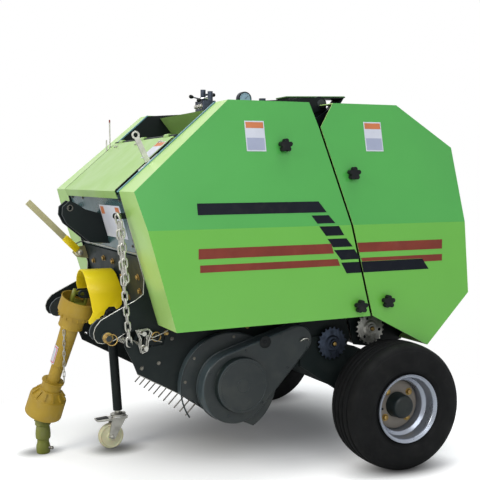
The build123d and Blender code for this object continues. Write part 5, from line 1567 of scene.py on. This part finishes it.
@dataclass
class Studio:
    """Floor, backdrop, lamps and camera; the floor and the lamps in metres."""

    camera_at: Spot = (2041.4, 3602.6, 1168.7)
    yaw: float = 24.43
    pitch: float = 3.95
    roll: float = -0.295
    lens: float = 67.27
    floor_r: float = 14.0
    # Centre and reach of the painted shadow patch under the machine.
    shadow: tuple[Flat, Flat] = ((-0.27, -0.15), (1.1, 0.85))

    # Painted shadows on the floor where the left tyre, the right tyre, the castor and the shaft's foot stand: centre,
    # reach and darkest share of each.
    CONTACT_SHADOWS = (
        ((-0.5, 0.64), (0.30, 0.19), 0.05),
        ((-0.5, -0.64), (0.30, 0.19), 0.2),
        ((0.47, -0.10), (0.17, 0.13), 0.12),
        ((0.78, -0.20), (0.13, 0.10), 0.25),
    )
    LAMPS = (
        ("front_lamp", (5.2, 1.4, 3.6), (0.3, 0, 0.7), 2.6, 150, (1.0, 0.97, 0.88)),
        ("side_lamp", (0.8, 5.4, 3.4), (-0.2, 0.4, 0.6), 2.8, 105, (0.95, 0.98, 1.0)),
        ("top_lamp", (-0.6, 0.4, 5.2), (-0.1, 0, 0.8), 2.4, 130, (1.0, 1.0, 1.0)),
    )

    def camera(self) -> None:
        """Stand the camera at the photograph's angle."""
        yaw, pitch = radians(self.yaw), radians(self.pitch)
        look = Vector((-sin(yaw) * cos(pitch), -cos(yaw) * cos(pitch), -sin(pitch)))
        right = Vector((-cos(yaw), sin(yaw), 0))
        turn = Matrix((right, right.cross(look), -look)).transposed().to_4x4()
        data = bpy.data.cameras.new("camera")
        data.sensor_fit = "HORIZONTAL"
        data.sensor_width = 36
        data.lens = self.lens
        data.clip_end = 60
        camera = new_object(data)
        roll = Matrix.Rotation(radians(self.roll), 4, "Z")
        camera.matrix_world = Matrix.Translation(place(self.camera_at)) @ turn @ roll
        bpy.context.scene.camera = camera

    def floor(self) -> None:
        """Lay a floor that keeps the machine's cast shadow, darkened further by a painted shadow patch under the
        machine and painted shadows where the tyres, the castor and the shaft's foot stand, and that fades to white
        around it.
        """
        clear()
        bpy.ops.mesh.primitive_circle_add(vertices=96, radius=self.floor_r, fill_type="NGON", location=(0, 0, 0))
        floor = bpy.context.object
        floor.name = "floor"
        material = bpy.data.materials.new("pale_floor")
        material.use_nodes = True
        nodes = material.node_tree.nodes
        brush = Brush(material.node_tree)
        away = brush.away(*self.shadow)
        contact_shadow = None
        for centre, reach, depth in self.CONTACT_SHADOWS:
            spot = brush.ranged(brush.away(centre, reach), 0.1, 1.0, depth, 1.0)
            contact_shadow = spot if contact_shadow is None else brush.math("MULTIPLY", contact_shadow, spot)
        # Painted shadow: the floor darkens towards the middle of the shadow ellipse, and further in the painted shadows
        # at the tyres, the castor and the shaft's foot.
        shadow_patch_tone = brush.blended(brush.ranged(away, 0.15, 0.85), (178, 178, 179), (247, 247, 247))
        brush.surface({"Base Color": brush.blended(contact_shadow, (70, 70, 71), shadow_patch_tone), "Roughness": 0.85})
        seen = brush.node("LightPath", {}, "Is Camera Ray")
        # The floor's glow for camera rays is weaker in the painted shadows.
        shadowed_glow = brush.math("MULTIPLY", contact_shadow, brush.ranged(away, 0.2, 1.0, 0.04, 0.45))
        plain = nodes["Principled BSDF"].outputs["BSDF"]
        bright = brush.node("AddShader", {0: plain, 1: brush.node("Emission", {"Strength": shadowed_glow})})
        near = brush.node("MixShader", {"Fac": seen, 1: plain, 2: bright})
        open_floor = brush.math("MULTIPLY", contact_shadow, brush.ranged(away, 0.95, 1.5))
        share = brush.math("MULTIPLY", seen, open_floor)
        white = brush.node("Emission", {"Color": WHITE})
        far = brush.node("MixShader", {"Fac": share, 1: near, 2: white})
        brush.lead(far, nodes["Material Output"].inputs["Surface"])
        floor.data.materials.append(material)

    def backdrop(self) -> None:
        """Make the world white to the camera and in mirrors, and soft to the object."""
        world = bpy.context.scene.world or bpy.data.worlds.new("world")
        bpy.context.scene.world = world
        world.use_nodes = True
        world.node_tree.nodes.clear()
        brush = Brush(world.node_tree)
        camera, mirror, glass = (
            brush.node("LightPath", {}, f"Is {kind} Ray") for kind in ("Camera", "Glossy", "Transmission")
        )
        seen = brush.math("MAXIMUM", brush.math("MAXIMUM", camera, mirror), glass)
        soft = brush.node("Background", {"Color": (0.86, 0.92, 1.0, 1), "Strength": 0.34})
        white = brush.node("Background", {"Color": WHITE, "Strength": 1.0})
        out = world.node_tree.nodes.new("ShaderNodeOutputWorld")
        brush.lead(brush.node("MixShader", {"Fac": seen, 1: soft, 2: white}), out.inputs["Surface"])

    def lamps(self) -> None:
        """Hang the soft area lamps: where, facing what, how large, in watts, and in which colour."""
        for name, spot, target, size, power, colour in self.LAMPS:
            data = bpy.data.lights.new(name, "AREA")
            data.shape = "SQUARE"
            data.size = size
            data.energy = power
            data.color = colour
            facing = (Vector(target) - Vector(spot)).to_track_quat("-Z", "Y").to_matrix().to_4x4()
            new_object(data).matrix_world = Matrix.Translation(Vector(spot)) @ facing

    def build(self) -> None:
        """Set up the whole studio."""
        bpy.context.scene.view_settings.view_transform = "Standard"
        self.camera()
        self.floor()
        self.backdrop()
        self.lamps()


BY_SLOT = {
    Slot.BLACK: Finish.DARK_TEAL,
    Slot.GREEN: Finish.COVER_GREEN,
    Slot.PALE_GREEN: Finish.PALE_GREEN,
    Slot.YELLOW: Finish.SHIELD_YELLOW,
    Slot.OLIVE: Finish.LEVER_OLIVE,
    Slot.SILVER: Finish.RIM_SILVER,
    Slot.ZINC: Finish.ZINC,
    Slot.STEEL: Finish.STEEL,
    Slot.CHROME: Finish.CHROME,
    Slot.VALVE: Finish.CAST_METAL,
    Slot.BLACK_PLASTIC: Finish.BLACK_PLASTIC,
    Slot.OCHRE: Finish.OCHRE_PLASTIC,
    Slot.NYLON: Finish.NYLON,
    Slot.RUBBER: Finish.TYRE,
}
BY_NODE = {
    "front_wall": Finish.WALL_TEAL,
    "drive_case": Finish.CASE_GREY,
    "link_brackets": Finish.CASE_GREY,
    "hood_levers": Finish.ZINC,
}
WALL = Incline((1000.0, 884.0), (1069.6, 1135.4), 4.0)
DRIVE_PLATE = Incline((936.0, 660.0), (996.0, 876.0), 8.2)
HOOD = Incline((1088.0, 1122.0), (852.2, 1326.6), 3.1)


def build_baler() -> None:
    """Build the studio and every sub-assembly in order."""
    for part in (
        Studio(),
        Dressing(BY_SLOT, BY_NODE),
        CoverMarkings(),
        Wheel("left", 1, Body.WHEEL_LEFT),
        Wheel("right", -1, Body.WHEEL_RIGHT),
        PickupDrive(),
        Sprocket("front_sprocket", "drive_sprocket", (190.3, 490.3), Finish.BLUE_STEEL, Body.FRAME, 420.8),
        Sprocket("rear_sprocket", "gate_sprocket", (7.8, 539.2), Finish.ZINC, Body.GATE, 408.5, True),
        DriveShaft(),
        HitchFittings(),
        ParkingStand(),
        FrontPanel(WALL, DRIVE_PLATE),
        Piece("shaft_shield", Finish.SHIELD_YELLOW, Slot.YELLOW, [ShaftShield()], Body.FRAME, ("pto_shield",), 40),
        HoodFittings(HOOD),
        RoofGear(),
        TailgateFittings(),
    ):
        part.build()


def main() -> None:
    """Dress the machine."""
    build_baler()


if __name__ == "__main__":
    main()
